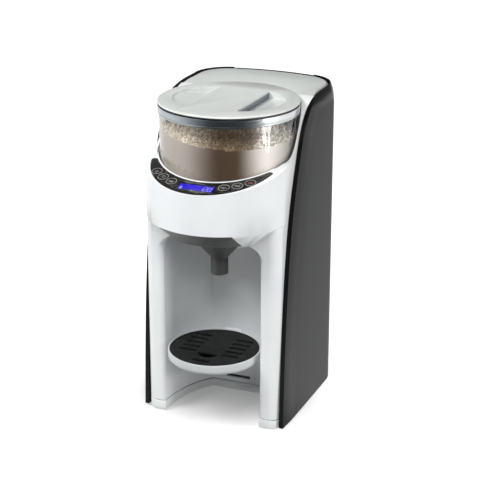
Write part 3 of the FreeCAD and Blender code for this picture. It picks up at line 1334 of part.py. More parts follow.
heater_side, heater_axis, nipple = -at("heater_side"), at("heater_axis"), at("nipple_length")
pump_outlet = at("pump_top") + at("pump_head_height") + nipple
heater_inlet, heater_outlet = at("heater_base") - nipple, at("heater_top") + nipple
halfway = (pump_outlet + heater_inlet) / 2
shaped("heater_hose", hose([
    (0, at("pump_axis"), pump_outlet), (0, at("pump_axis"), halfway),
    (heater_side, heater_axis, halfway), (heater_side, heater_axis, heater_inlet)], at("hose_radius")))

spout_side, level = -at("spout_side"), at("spout_level")
shaped("spout_hose", hose([
    (heater_side, heater_axis, heater_outlet), (heater_side, heater_axis, level - 8),
    (spout_side, at("frame_rear") + 4, level), (spout_side, at("spout_rear") + nipple, level)],
    at("spout_gauge")))

pump_intake = at("frame_rear") + at("pump_depth") + nipple
valve_outlet = at("valve_middle") - at("valve_radius") - at("valve_wall") - nipple - 1
shaped("inlet_hose", hose([
    (0, pump_intake, at("intake_height")), (0, valve_outlet, at("intake_height"))], at("hose_radius")))

# ---------------------------------------------------------------- check and write
doc.recompute()
for thing in doc.Objects:
    if "Invalid" in thing.State or "Error" in thing.State:
        raise RuntimeError("%s (%s) did not rebuild: %s" % (thing.Name, thing.Label, thing.State))
os.makedirs("parts", exist_ok=True)
for part in PARTS:
    if part.Shape.isNull() or not part.Shape.isValid() or not part.Shape.Solids:
        raise RuntimeError("%s has no sound shape" % part.Label)
    part.Shape.exportStep("parts/%s.step" % part.Label)
print("%d sub-parts written" % len(PARTS))
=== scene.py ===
import json
import math
from contextlib import contextmanager

import bmesh
import bpy
from mathutils import Matrix, Vector


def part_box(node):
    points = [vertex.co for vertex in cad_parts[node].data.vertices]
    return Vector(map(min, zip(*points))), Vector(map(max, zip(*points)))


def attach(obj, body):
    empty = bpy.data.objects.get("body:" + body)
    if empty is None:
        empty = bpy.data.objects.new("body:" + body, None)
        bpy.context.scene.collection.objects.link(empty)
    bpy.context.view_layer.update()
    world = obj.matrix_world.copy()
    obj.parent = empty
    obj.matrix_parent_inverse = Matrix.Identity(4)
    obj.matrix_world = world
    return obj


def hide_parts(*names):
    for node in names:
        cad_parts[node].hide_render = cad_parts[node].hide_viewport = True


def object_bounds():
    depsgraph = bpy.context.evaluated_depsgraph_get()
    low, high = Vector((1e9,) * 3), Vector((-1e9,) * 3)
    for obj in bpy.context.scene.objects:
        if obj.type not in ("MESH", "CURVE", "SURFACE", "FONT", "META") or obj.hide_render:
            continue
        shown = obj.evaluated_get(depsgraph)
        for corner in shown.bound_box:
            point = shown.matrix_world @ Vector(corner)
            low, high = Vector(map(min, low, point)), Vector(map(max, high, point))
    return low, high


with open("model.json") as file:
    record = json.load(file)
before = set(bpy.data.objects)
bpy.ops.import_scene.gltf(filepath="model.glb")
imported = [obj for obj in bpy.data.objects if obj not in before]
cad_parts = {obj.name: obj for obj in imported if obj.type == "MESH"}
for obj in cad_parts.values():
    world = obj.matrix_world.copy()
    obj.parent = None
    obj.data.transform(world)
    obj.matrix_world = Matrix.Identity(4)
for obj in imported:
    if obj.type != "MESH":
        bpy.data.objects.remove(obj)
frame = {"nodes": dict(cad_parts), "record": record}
cad_low, cad_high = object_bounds()

record = frame["record"]
BODY = {node: body for body, nodes in record["behaviour"]["bodies"].items() for node in nodes}
SLOT = {part["node"]: part["material_slot"] for part in record["subparts"]}
MM = 0.001


def mm(*values):
    """Millimetres in the machine's frame as a point in metres."""
    return Vector([value * MM for value in values])


def box_mm(node):
    """A node's lowest and highest corners in millimetres."""
    low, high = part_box(node)
    return Vector(low) / MM, Vector(high) / MM


# -------- sizes in mm
collar_low, collar_high = box_mm("hopper")
ring_low, ring_high = box_mm("hopper_ring")
tray_low, tray_high = box_mm("drip_tray")
grid_low, grid_high = box_mm("drip_grid")
HOPPER_AXIS = (0, (ring_low.y + ring_high.y) / 2)
TRAY_AXIS = (0, (tray_low.y + tray_high.y) / 2)
RING_RADIUS = ring_high.x
RING_BORE = RING_RADIUS - 7.5
CONTAINER_INSIDE = collar_high.x - 2.2
TRAY_RADIUS = tray_high.x
TRAY_WALL = 1.9
GRID_RADIUS = grid_high.x
LID_TOP = box_mm("hopper_lid")[1].z
COLLAR_TILT = math.radians(15)
COLLAR_FOOT = 288.5
BUTTON_RADIUS = 6.5


def on_slope(across, along, rise=0.0):
    """The matrix that moves a shape from the origin on to the collar's slope, in mm."""
    foot = Matrix.Translation(mm(0, cad_low[1] / MM, COLLAR_FOOT))
    return foot @ Matrix.Rotation(COLLAR_TILT, 4, "X") @ Matrix.Translation(mm(across, along, rise))


# -------- modelling helpers
def work_on(piece):
    """Select this piece alone."""
    bpy.ops.object.select_all(action="DESELECT")
    piece.select_set(True)
    bpy.context.view_layer.objects.active = piece


@contextmanager
def editing(piece):
    """Edit a piece's mesh, with all of it selected at first."""
    work_on(piece)
    bpy.ops.object.mode_set(mode="EDIT")
    bpy.ops.mesh.select_all(action="SELECT")
    yield
    bpy.ops.object.mode_set(mode="OBJECT")


def modified(piece, kind, **settings):
    """Put a modifier on a piece and apply it."""
    work_on(piece)
    modifier = piece.modifiers.new(kind, kind)
    for setting, value in settings.items():
        setattr(modifier, setting, value)
    bpy.ops.object.modifier_apply(modifier=modifier.name)
    return piece


def named(name):
    """Name the piece that was just added and put its place into its mesh."""
    piece = bpy.context.object
    piece.name = piece.data.name = name
    bpy.ops.object.transform_apply()
    return piece


def copied(name, mesh):
    """A new piece with its own copy of a mesh."""
    piece = bpy.data.objects.new(name, mesh.copy())
    bpy.context.scene.collection.objects.link(piece)
    return piece


def pick(piece, wanted):
    """In edit mode, select only the vertices that are wanted."""
    bpy.ops.mesh.select_mode(type="VERT")
    bpy.ops.mesh.select_all(action="DESELECT")
    shape = bmesh.from_edit_mesh(piece.data)
    for corner in shape.verts:
        if wanted(corner):
            corner.select_set(True)
    bmesh.update_edit_mesh(piece.data)


def drawn_out(piece, axis, reach):
    """Move a piece's two halves apart along an axis, 0 for X and 1 for Y, each by a reach in mm."""
    with editing(piece):
        for side in (-1, 1):
            pick(piece, lambda corner: corner.co[axis] * side > 1e-6)
            move = Vector((0, 0, 0))
            move[axis] = side * reach * MM
            bpy.ops.transform.translate(value=move)


def clean(piece):
    """Merge what lies together and turn every face outwards."""
    with editing(piece):
        bpy.ops.mesh.remove_doubles(threshold=1e-7)
        bpy.ops.mesh.delete_loose()
        bpy.ops.mesh.select_all(action="SELECT")
        bpy.ops.mesh.normals_make_consistent()
    return piece


def turned(name, corners, axis=(0, 0), steps=160):
    """Spin an outline round an upright axis; each corner is (radius, height, rounding) in mm."""
    bpy.ops.mesh.primitive_circle_add(vertices=len(corners), radius=1, fill_type="NGON")
    piece = named(name)
    spots = [(mm(axis[0] + radius, axis[1], height), rounding) for radius, height, rounding in corners]
    with editing(piece):
        shape = bmesh.from_edit_mesh(piece.data)
        for corner, (spot, _) in zip(shape.verts, spots):
            corner.co = spot
        bmesh.update_edit_mesh(piece.data)
        for spot, rounding in spots:
            if rounding:
                pick(piece, lambda corner: (corner.co - spot).length < 1e-7)
                bpy.ops.mesh.bevel(offset=rounding * MM, segments=5, affect="VERTICES")
        bpy.ops.mesh.select_mode(type="FACE")
        bpy.ops.mesh.select_all(action="SELECT")
        bpy.ops.mesh.delete(type="ONLY_FACE")
        bpy.ops.mesh.select_mode(type="VERT")
        bpy.ops.mesh.select_all(action="SELECT")
        bpy.ops.mesh.spin(steps=steps, angle=2 * math.pi, center=mm(*axis, 0), axis=(0, 0, 1))
    return clean(piece)


def block(name, low, high):
    """A box between two corners in mm, with its edges ready to be shaped."""
    low, high = mm(*low), mm(*high)
    bpy.ops.mesh.primitive_cube_add(size=1, location=(low + high) / 2, scale=high - low)
    return named(name)


def rod(name, sides, radius, tall, middle=(0, 0, 0)):
    """An upright cylinder with a number of flat sides, its sizes and its middle in mm."""
    bpy.ops.mesh.primitive_cylinder_add(vertices=sides, radius=radius * MM, depth=tall * MM, location=mm(*middle))
    return named(name)


# degrees: the turn from which an edge is rounded, and up to which a surface is shaded as one; the body's soft
# edges, up to the hollow under its chin, read as one skin
SHARP, SMOOTH, BODY_SKIN = 28, 35, 74


def rounded(piece, width, sharper_than=SHARP):
    """Bevel the edges that turn by more than an angle; the width is in mm."""
    return modified(piece, "BEVEL", width=width * MM, segments=3, limit_method="ANGLE",
                    angle_limit=math.radians(sharper_than))


def carved(piece, tools, operation="DIFFERENCE"):
    """Cut tools out of a piece, or keep what it shares with them, and throw the tools away."""
    for tool in tools:
        modified(piece, "BOOLEAN", object=tool, operation=operation, solver="EXACT")
        bpy.data.objects.remove(tool)
    return piece


def joined(name, pieces):
    """One object from several."""
    work_on(pieces[0])
    for piece in pieces:
        piece.select_set(True)
    bpy.ops.object.join()
    return named(name)


def line(name, points, thickness, widths=None):
    """A raised or printed stroke along points in mm."""
    bpy.ops.curve.primitive_nurbs_path_add()
    piece = bpy.context.object
    piece.data.splines.clear()
    stroke = piece.data.splines.new("POLY")
    stroke.points.add(len(points) - 1)
    for place, point in enumerate(points):
        stroke.points[place].co = (*mm(*point), 1)
        stroke.points[place].radius = widths[place] if widths else 1
    piece.data.bevel_depth, piece.data.bevel_resolution = thickness / 2 * MM, 3
    piece.data.use_fill_caps = True
    bpy.ops.object.convert(target="MESH")
    return clean(named(name))


def finished(piece, body, material, replaced=(), smooth=SMOOTH):
    """Shade a piece, give it its material and its body, and hide the nodes that it replaces."""
    work_on(piece)
    bpy.ops.object.shade_smooth_by_angle(angle=math.radians(smooth))
    piece.data.materials.clear()
    piece.data.materials.append(material)
    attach(piece, body)
    if replaced:
        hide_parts(*replaced)
    return piece


def softened(piece, width, share):
    """Round chosen edges by a share of the width in mm; share gives it from an edge's two ends in mm."""
    shape = bmesh.new()
    shape.from_mesh(piece.data)
    shares = shape.edges.layers.float.new("bevel_weight_edge")
    for edge in shape.edges:
        edge[shares] = share(*[end.co / MM for end in edge.verts])
    shape.to_mesh(piece.data)
    shape.free()
    modified(piece, "BEVEL", width=width * MM, segments=6, limit_method="WEIGHT", use_clamp_overlap=False)
    piece.data.attributes.remove(piece.data.attributes["bevel_weight_edge"])


def lifted(piece, height, rise):
    """Move what lies at a height by a rise, both in mm, as where a seam opens."""
    with editing(piece):
        pick(piece, lambda corner: abs(corner.co.z / MM - height) < 0.05)
        bpy.ops.transform.translate(value=mm(0, 0, rise))


def moulded(node, material, width, reshape=None, sharper_than=SHARP, smooth=SMOOTH):
    """A node as it leaves the mould: a copy of its mesh, reshaped and with every sharp edge rounded."""
    piece = copied(node + "_moulding", frame["nodes"][node].data)
    work_on(piece)
    bpy.ops.mesh.customdata_custom_splitnormals_clear()
    with editing(piece):
        bpy.ops.mesh.remove_doubles(threshold=1e-6)
        bpy.ops.mesh.mark_sharp(clear=True)
        bpy.ops.mesh.dissolve_limited(angle_limit=math.radians(1.0))
    if reshape:
        reshape(piece)
    rounded(piece, width, sharper_than)
    return finished(piece, BODY[node], material, (node,), smooth)


# -------- material helpers
def linear(colour):
    """An sRGB hex colour as linear red, green, blue and alpha."""
    parts = [int(colour[place:place + 2], 16) / 255 for place in (1, 3, 5)]
    return (*[((part + 0.055) / 1.055) ** 2.4 if part > 0.04045 else part / 12.92 for part in parts], 1.0)


def add(material, kind, inputs=None, **options):
    """Add a shader node, set its options, and fill its inputs with values or other nodes' outputs."""
    tree = material.node_tree
    node = tree.nodes.new("ShaderNode" + kind)
    for option, value in options.items():
        setattr(node, option, value)
    for socket, value in (inputs or {}).items():
        if isinstance(value, bpy.types.NodeSocket):
            tree.links.new(value, node.inputs[socket])
        else:
            node.inputs[socket].default_value = value
    return node


def reckoned(material, operation, *values):
    """A sum, a product or the like of values and other nodes' outputs."""
    return add(material, "Math", dict(enumerate(values)), operation=operation).outputs["Value"]


def from_vectors(material, operation, *values):
    """A vector, or a number where the operation gives one, from vectors."""
    node = add(material, "VectorMath", dict(enumerate(values)), operation=operation)
    return node.outputs["Value" if operation in ("LENGTH", "DOT_PRODUCT") else "Vector"]


def ranged(material, value, low, high, at_low=0.0, at_high=1.0, ease="LINEAR"):
    """What a value between low and high stands for between at_low and at_high."""
    inputs = {"Value": value, "From Min": low, "From Max": high, "To Min": at_low, "To Max": at_high}
    return add(material, "MapRange", inputs, interpolation_type=ease).outputs["Result"]


def split(material, vector):
    """The X, Y and Z of a vector."""
    return add(material, "SeparateXYZ", {"Vector": vector}).outputs


def facing(material):
    """The X, Y and Z of the way that the surface faces."""
    return split(material, add(material, "NewGeometry").outputs["True Normal"])


def noise(material, place, size, detail):
    """Soft patches or grain about size mm wide."""
    return add(material, "TexNoise", {"Vector": place, "Scale": 1 / size, "Detail": detail}).outputs["Fac"]


def mixed(material, share, low, high, **options):
    """A colour between two others, each in hex or from a node."""
    low, high = [linear(end) if isinstance(end, str) else end for end in (low, high)]
    return add(material, "Mix", {"Factor": share, 6: low, 7: high}, data_type="RGBA", **options).outputs[2]


def tones(material, share, stops, ease="LINEAR"):
    """A colour that follows a share from 0 to 1 through a few stops."""
    ramp = add(material, "ValToRGB", {"Fac": share})
    ramp.color_ramp.interpolation = ease
    points = ramp.color_ramp.elements
    while len(points) < len(stops):
        points.new(0.5)
    for point, (place, colour) in zip(points, stops):
        point.position, point.color = place, linear(colour)
    return ramp.outputs["Color"]


def wire(material, node, **outputs):
    """Drive a node's sockets by other nodes' outputs."""
    for socket, output in outputs.items():
        material.node_tree.links.new(output, node.inputs[socket.replace("_", " ")])


def either(material, share, usual, other):
    """The surface of one shader, or of the other where the share is 1."""
    return add(material, "MixShader", {0: share, 1: usual, 2: other}).outputs["Shader"]


def bumped(material, height, depth):
    """A normal that reads as height differences of depth mm."""
    return add(material, "Bump", {"Height": height, "Distance": depth * MM}).outputs["Normal"]


def finish_of(name, **sockets):
    """A new material: itself, its shader, and the surface's own place in millimetres."""
    material = bpy.data.materials.new(name)
    material.use_nodes = True
    shader = material.node_tree.nodes["Principled BSDF"]
    for socket, value in sockets.items():
        shader.inputs[socket.replace("_", " ")].default_value = value
    place = add(material, "TexCoord").outputs["Object"]
    in_mm = add(material, "Mapping", {"Vector": place, "Scale": (1 / MM, 1 / MM, 1 / MM)})
    return material, shader, in_mm.outputs["Vector"]


# the part of the noise's range in which a patch goes from its one tone to the other
PATCH_FROM, PATCH_TO = 0.35, 0.65


def mottled(material, shader, place, size, low, high, socket="Base_Color", detail=3.0):
    """Drive a socket between two colours or values in patches about size mm wide."""
    patches = noise(material, place, size, detail)
    if isinstance(low, str):
        output = tones(material, patches, ((PATCH_FROM, low), (PATCH_TO, high)))
    else:
        output = ranged(material, patches, PATCH_FROM, PATCH_TO, low, high)
    wire(material, shader, **{socket: output})
    return output


def grained(material, shader, place, size, depth, detail=2.0):
    """Bump a surface with grain about size mm wide and depth mm deep."""
    wire(material, shader, Normal=bumped(material, noise(material, place, size, detail), depth))


def light_passes(material, shader, colour):
    """Let lamps shine through a clear part, tinted, as its shadow would otherwise be black."""
    passing = add(material, "BsdfTransparent", {"Color": linear(colour)}).outputs["BSDF"]
    shadow = add(material, "LightPath").outputs["Is Shadow Ray"]
    wire(material, material.node_tree.nodes["Material Output"],
         Surface=either(material, shadow, shader.outputs["BSDF"], passing))


# -------- finishes
def glossy_white_abs(name, colour, roughness):
    """Injection-moulded white ABS: even and glossy, with the faint waviness of a polished tool."""
    material, shader, place = finish_of(name, IOR=1.53)
    white = mottled(material, shader, place, 45, *colour)
    mottled(material, shader, place, 50, *roughness, "Roughness", detail=0.0)
    grained(material, shader, place, 14, 0.012, detail=1.0)
    return material, shader, place, white


# mm: how far below the lid's top the painted shade on its right grip's wall starts and is full, and how far in from
# the ring it lies
GRIP_SHADE_STARTS, GRIP_SHADE_FULL, GRIP_OUTER, GRIP_INNER = 0.6, 2.5, 8, 12


def lid_white_with_painted_shade():
    """The lid's white: faintly green, painted a shade darker than the body's as the tops take less light, and with
    blue-grey painted shade on the right grip's wall that faces right.
    """
    material, shader, place, white = glossy_white_abs("white_tops_painted_darker", ("#D2D6D2", "#D8DCD8"), (0.2, 0.28))
    spot = split(material, place)
    depth = ranged(material, spot["Z"], LID_TOP - GRIP_SHADE_STARTS, LID_TOP - GRIP_SHADE_FULL)
    from_axis = from_vectors(material, "SUBTRACT", place, (*HOPPER_AXIS, 0))
    away = from_vectors(material, "LENGTH", from_vectors(material, "MULTIPLY", from_axis, (1, 1, 0)))
    inside = ranged(material, away, RING_RADIUS - GRIP_OUTER, RING_RADIUS - GRIP_INNER)
    on_right = ranged(material, spot["X"], -5, 5, 0.0, inside)
    wall = ranged(material, facing(material)["X"], 0.15, 0.45)
    # painted shade: blue-grey on the right grip's wall, where it faces right
    share = reckoned(material, "MULTIPLY", reckoned(material, "MULTIPLY", depth, on_right), wall)
    wire(material, shader, Base_Color=mixed(material, share, white, "#6E757E"))
    return material


# mm: the covers' front edge, by its height and how far back it lies, and the range that holds it
COVER_FRONT = ((12, -67.1), (60, -65), (100, -62.5), (160, -57.2), (200, -52.2), (230, -47.1), (260, -40),
               (280, -33.6), (300, -26.4), (320, -18.6), (338, -9.7), (350, -0.8), (360, 11.3), (368, 28))
COVER_TALL, COVER_BACK, COVER_DEEP = 370, -70, 100
# from a lower to an upper height in mm, with its value at each: the width of the black border, which is painted
# shade, and its fade into the grey, in mm, the share of grey left in it, and the end of all grey under the covers'
# rim
SHADE_BORDER_WIDE, SHADE_FADE_WIDE, SHADE_BORDER_GREY = (40, 330, 8.0, 25.0), (40, 290, 36.0, 8.0), (60, 230, 0.4, 0.0)
UNDER_RIM_SHADE = (350, 356, 1.0, 0.0)
# mm: where the covers turn round to the back
COVER_CORNER = (66, 76)


def side_abs_with_painted_shade():
    """Dark ABS covers: grey, finely spark-eroded sides inside a black border that widens upwards, painted shade
    where their rounded front edge turns from the light.
    """
    material, shader, place = finish_of("side_abs_with_painted_shade", IOR=1.53, Specular_IOR_Level=0.1)
    spot = split(material, place)
    height, back = spot["Z"], spot["Y"]
    front = add(material, "FloatCurve", {"Value": ranged(material, height, 0, COVER_TALL)})
    curve = front.mapping.curves[0]
    while len(curve.points) < len(COVER_FRONT):
        curve.points.new(0.5, 0.5)
    for point, (z, y) in zip(curve.points, COVER_FRONT):
        point.location = (z / COVER_TALL, (y - COVER_BACK) / COVER_DEEP)
    front.mapping.update()
    edge = reckoned(material, "MULTIPLY_ADD", front.outputs["Value"], COVER_DEEP, COVER_BACK)
    behind_edge = reckoned(material, "SUBTRACT", back, edge)
    starts = ranged(material, height, *SHADE_BORDER_WIDE)
    ends = reckoned(material, "ADD", starts, ranged(material, height, *SHADE_FADE_WIDE))
    least = ranged(material, height, *SHADE_BORDER_GREY)
    side = ranged(material, behind_edge, starts, ends, least, ease="SMOOTHSTEP")
    grey_all = reckoned(material, "MAXIMUM", side, ranged(material, back, *COVER_CORNER))
    flat = reckoned(material, "MULTIPLY", grey_all, ranged(material, height, *UNDER_RIM_SHADE))
    grey = mixed(material, noise(material, place, 30, 2.0), "#2A2B2B", "#2F3030")
    erosion = reckoned(material, "MULTIPLY", noise(material, place, 0.5, 3.0), flat)
    # black border: painted shade, glossier than the grey
    wire(material, shader, Base_Color=mixed(material, flat, "#08090A", grey),
         Roughness=ranged(material, flat, 0, 1, 0.25, 0.5), Normal=bumped(material, erosion, 0.03))
    return material


# the way across the container and its ring from left to right as the camera sees them, along which their painted
# shade and painted reflection run
ACROSS = mm(0.921, 0.39, 0) / MM


def share_across(material, place, radius, wander=0.0):
    """How far a spot lies to the right of the container's axis, as a share from 0 to 1."""
    from_axis = from_vectors(material, "SUBTRACT", place, (*HOPPER_AXIS, 0))
    across = from_vectors(material, "DOT_PRODUCT", from_axis, ACROSS)
    sway = ranged(material, noise(material, place, 26, 1.0), 0, 1, -wander, wander)
    return ranged(material, reckoned(material, "ADD", across, sway), -radius, radius)


RING_TONES_AND_PAINTED_REFLECTION = ((0.125, "#A6AEB3"), (0.4, "#4A5156"), (0.575, "#4C5257"), (0.875, "#C8CCCE"))


def silver_paint_with_painted_reflection():
    """Silver-grey metallic paint on the ring: fine flakes, and a painted reflection across the view, dark in the
    middle and light at its sides.
    """
    material, shader, place = finish_of("silver_paint_with_painted_reflection", Metallic=0.85, Coat_Weight=0.15, Coat_Roughness=0.08)
    flakes = ranged(material, noise(material, place, 0.3, 1.0), 0, 1, 0.92, 1.08)
    # painted reflection: a tone by where a spot lies across the view
    tone = tones(material, share_across(material, place, RING_RADIUS), RING_TONES_AND_PAINTED_REFLECTION, "EASE")
    wire(material, shader, Base_Color=mixed(material, 1.0, tone, flakes, blend_type="MULTIPLY"))
    mottled(material, shader, place, 30, 0.3, 0.36, "Roughness", detail=0.0)
    return material


def clear_tritan():
    """Clear copolyester: water clear, with a soft polish that shows as broad upright highlights."""
    material, shader, place = finish_of("clear_tritan", IOR=1.54, Transmission_Weight=1.0)
    mottled(material, shader, place, 60, "#F3F1EE", "#FBFAF8")
    mottled(material, shader, place, 12, 0.0, 0.012, "Roughness", detail=0.0)
    light_passes(material, shader, "#F4F2EF")
    return material


def smoky_tank_plastic():
    """Smoke-grey translucent SAN of the tank: see-through, a little cloudy where it is thick."""
    material, shader, place = finish_of("smoky_san", IOR=1.57, Transmission_Weight=0.9)
    mottled(material, shader, place, 50, "#8E959B", "#A3AAB0")
    mottled(material, shader, place, 8, 0.08, 0.16, "Roughness")
    light_passes(material, shader, "#9AA1A6")
    return material


# the powder's tones from left to right across the view, with painted shade and painted reflection in them, dark
# right of the middle and pale near the right: what is packed against the wall, and what lies loose on top
PACKED_TONES_AND_PAINTED_LIGHT = ((0.15, "#96908A"), (0.44, "#44362A"), (0.55, "#463829"), (0.775, "#D2CECA"), (0.99, "#6A6764"))
LOOSE_TONES_AND_PAINTED_LIGHT = ((0.15, "#ADA699"), (0.45, "#5F5241"), (0.65, "#675A4A"), (0.75, "#DEDAD6"), (0.975, "#99958F"))
# painted glow on the loose grains, standing in for light under the ring, where little falls straight in
LOOSE_PAINTED_GLOW = 0.6
# mm: the width of a loose grain, and the share of it along the view in which it is drawn out
GRAIN_WIDE, GRAIN_DRAWN = 1.2, 0.45


def milk_powder_with_painted_light():
    """Spray-dried powder: smooth and packed against the wall, loose pale grains and gaps on top, with painted shade
    and painted reflection across it and a painted glow on the loose top.
    """
    material, shader, place = finish_of("milk_powder_with_painted_light", Roughness=0.92, IOR=1.4, Specular_IOR_Level=0.2)
    share = share_across(material, place, CONTAINER_INSIDE, wander=3)
    lain = add(material, "Mapping", {"Vector": place, "Scale": (1.0, GRAIN_DRAWN, 1.0)}).outputs["Vector"]
    grains = add(material, "TexVoronoi", {"Vector": lain, "Scale": 1 / GRAIN_WIDE})
    each = add(material, "SeparateColor", {"Color": grains.outputs["Color"]}).outputs["Red"]
    bright = tones(material, each, ((0.25, "#9C9488"), (0.95, "#FFFFFF")))
    loose = mixed(material, 1.0, tones(material, share, LOOSE_TONES_AND_PAINTED_LIGHT, "EASE"), bright, blend_type="MULTIPLY")
    on_top = ranged(material, facing(material)["Z"], 0.12, 0.3)
    # painted shade and reflection from the tones across the view; painted glow on the loose top
    wire(material, shader, Base_Color=mixed(material, on_top, tones(material, share, PACKED_TONES_AND_PAINTED_LIGHT, "EASE"), loose),
         Normal=bumped(material, reckoned(material, "MULTIPLY", each, on_top), 0.3),
         Emission_Color=loose, Emission_Strength=reckoned(material, "MULTIPLY", on_top, LOOSE_PAINTED_GLOW))
    return material


def satin(name, low, high, roughness, size=18, grain=0.6, depth=0.01, **sockets):
    """A moulded part with an even satin surface: two close tones and a fine grain."""
    material, shader, place = finish_of(name, **sockets)
    mottled(material, shader, place, size, low, high)
    mottled(material, shader, place, size / 3, *roughness, "Roughness")
    grained(material, shader, place, grain, depth)
    return material


def brushed(name, low, high, roughness, stretch=(1, 1, 14)):
    """Drawn or machined metal: fine lines along one direction that stretch the highlights."""
    material, shader, place = finish_of(name, Metallic=1.0)
    lines = add(material, "Mapping", {"Vector": place, "Scale": tuple(3 / step for step in stretch)})
    streaks = noise(material, lines.outputs["Vector"], 0.5, 4.0)
    wire(material, shader, Base_Color=tones(material, streaks, ((0.3, low), (0.7, high))),
         Roughness=ranged(material, streaks, 0, 1, *roughness), Normal=bumped(material, streaks, 0.01))
    return material


def glowing(name, low, high, power):
    """A back-lit display surface: even light with slight mottling from the diffuser."""
    material, shader, place = finish_of(name, Base_Color=linear("#060608"), Roughness=0.4,
                                        Emission_Strength=power)
    mottled(material, shader, place, 8, low, high, "Emission_Color", detail=0.0)
    return material


WHITE = glossy_white_abs("glossy_white_abs", ("#E2E5E7", "#E7EAEB"), (0.17, 0.25))[0]
LID = lid_white_with_painted_shade()
# the cup's white is painted greyer than the body's, as shade for where it stands under the chin
CUP = glossy_white_abs("white_cup_painted_greyer", ("#BFC3C4", "#C5C9CA"), (0.2, 0.26))[0]
# painted shade: the deck's white is darker than the body's, as it faces the lamps more squarely; its finer texture
# also makes it rougher
DECK = glossy_white_abs("white_deck_painted_darker", ("#C1C5C1", "#C7CBC7"), (0.24, 0.3))[0]
SIDE = side_abs_with_painted_shade()
SILVER = silver_paint_with_painted_reflection()
CLEAR = clear_tritan()
SMOKE = smoky_tank_plastic()
POWDER = milk_powder_with_painted_light()
# back-painted polycarbonate: deep black with a hard, mirror-like top coat
PANEL = satin("panel_polycarbonate", "#0A0A0B", "#101011", (0.06, 0.11), grain=9, depth=0.004, IOR=1.58)
# silicone-feel button caps: a shade softer than the panel round them
BUTTON = satin("button_caps", "#131314", "#1A1A1B", (0.22, 0.32), size=6, grain=0.5, depth=0.004, IOR=1.5)
# charcoal ABS of the funnel drawer, finely eroded so that it stays matt against the white
FUNNEL = satin("charcoal_abs", "#4D4F4D", "#565856", (0.38, 0.5), grain=0.5, depth=0.012, IOR=1.53)
# black polypropylene of the drip grid: a dull sheen and a leathery grain
GRID = satin("black_polypropylene", "#121414", "#161818", (0.5, 0.6), size=40, grain=0.7, IOR=1.49,
             Specular_IOR_Level=0.25)
# soft dark rubber and seals
RUBBER = satin("dark_rubber", "#18191A", "#222324", (0.6, 0.75), size=10, grain=0.4, depth=0.015, IOR=1.52)
# screen-printed ink outlines on the panel, and a dark stroke on the silver ring that is painted shade for its hooked
# groove
PRINT, PRINT_RED, GROOVE_SHADE = [satin(*look, (0.4, 0.5), size=4, grain=0.4, depth=0.003) for look in (
    ("grey_print", "#A9A69E", "#BFBCB4"), ("red_print", "#A4525E", "#C0707C"), ("painted_groove_shade", "#2C3338", "#3A4248"))]
# pale grey polypropylene of the mixing wheel
WHEEL = satin("grey_polypropylene", "#8F9394", "#9DA1A2", (0.35, 0.5), IOR=1.49)
# unpainted inner mouldings, as they leave the tool
INNER = satin("natural_abs", "#C9CBCA", "#D5D7D6", (0.42, 0.56), IOR=1.53)
# acetal gears: creamy, waxy and slightly translucent
GEAR = satin("acetal", "#E4E1D6", "#ECEAE1", (0.3, 0.4), size=12, IOR=1.48, Subsurface_Weight=0.08)
STEEL = brushed("ground_steel", "#9C9EA0", "#C4C6C8", (0.2, 0.38))
BRASS = brushed("turned_brass", "#B08D45", "#CFAE63", (0.22, 0.36), stretch=(14, 14, 1))
ALUMINIUM = brushed("cast_aluminium", "#A9ABAD", "#C6C8CA", (0.35, 0.5), stretch=(2, 2, 2))
# green solder mask over copper: a faint weave shows through it
BOARD = satin("solder_mask", "#1C5A34", "#256B40", (0.3, 0.42), size=9, grain=0.8, depth=0.02)
# clear silicone hose: milky where it is seen edge on
HOSE = satin("silicone_hose", "#D9DBDA", "#E9EBEA", (0.2, 0.3), size=12, IOR=1.41, Transmission_Weight=0.5)
# the display's lit face and its figures, behind a thin clear lens
DISPLAY = glowing("display_blue", "#2B12F0", "#3216F8", 0.85)
FIGURES = glowing("display_figures", "#AEB6FF", "#BCC4FF", 1.0)
LENS = satin("display_lens", "#060510", "#08070F", (0.05, 0.06), size=60, grain=9, depth=0.001, IOR=1.49,
             Alpha=0.08, Specular_IOR_Level=0.15)

BY_SLOT = {
    "white_gloss": WHITE, "dark_side": SIDE, "grey_ring": SILVER, "clear_container": CLEAR,
    "smoky_tank": SMOKE, "rubber_dark": RUBBER, "powder": POWDER, "wheel_grey": WHEEL,
    "inner_plastic": INNER, "gear_plastic": GEAR, "steel": STEEL, "brass": BRASS, "aluminium": ALUMINIUM,
    "panel_black": PANEL, "display_blue": DISPLAY, "board_green": BOARD, "button_black": BUTTON,
    "funnel_grey": FUNNEL, "grid_black": GRID, "hose_clear": HOSE,
}


# -------- mouldings
# mm: how far each one's edges are rounded
MOULDED = {
    "front_shell": 0.8, "base_skirt": 0.5, "side_cover_left": 0.6, "side_cover_right": 0.6, "rear_cover": 0.5,
    "tank_lid": 0.8, "hopper": 0.4, "hopper_lid": 0.9, "funnel_cover": 0.5, "funnel": 0.5,
    "tray_bracket": 0.6, "water_tank": 0.6, "control_panel": 0.2, "mixing_wheel": 0.4, "rubber_feet": 0.7,
    "cord_gland": 0.5, "tank_lid_pin": 0.3, "tank_shelf": 0.5, "valve_seat": 0.4, "tank_valve": 0.4,
}


# mm: the legs' front plane, the bay's edge in it, and the heights between which that edge turns sharp
LEG_FRONT, BAY_EDGE_INNER, BAY_EDGE_OUTER, ARCH_TOP = -71.5, 46.0, 58.8, 219.2
SOFT_UP_TO, SHARP_OVER, SILL_BELOW = 208, 11.5, 100
# mm: the round of that edge, where the chin's soft shading ends, and how far the seam over the foot opens
BAY_ROUND, CHIN_BANDS, SEAM_OPENS = 7.0, (203, 268), 0.4


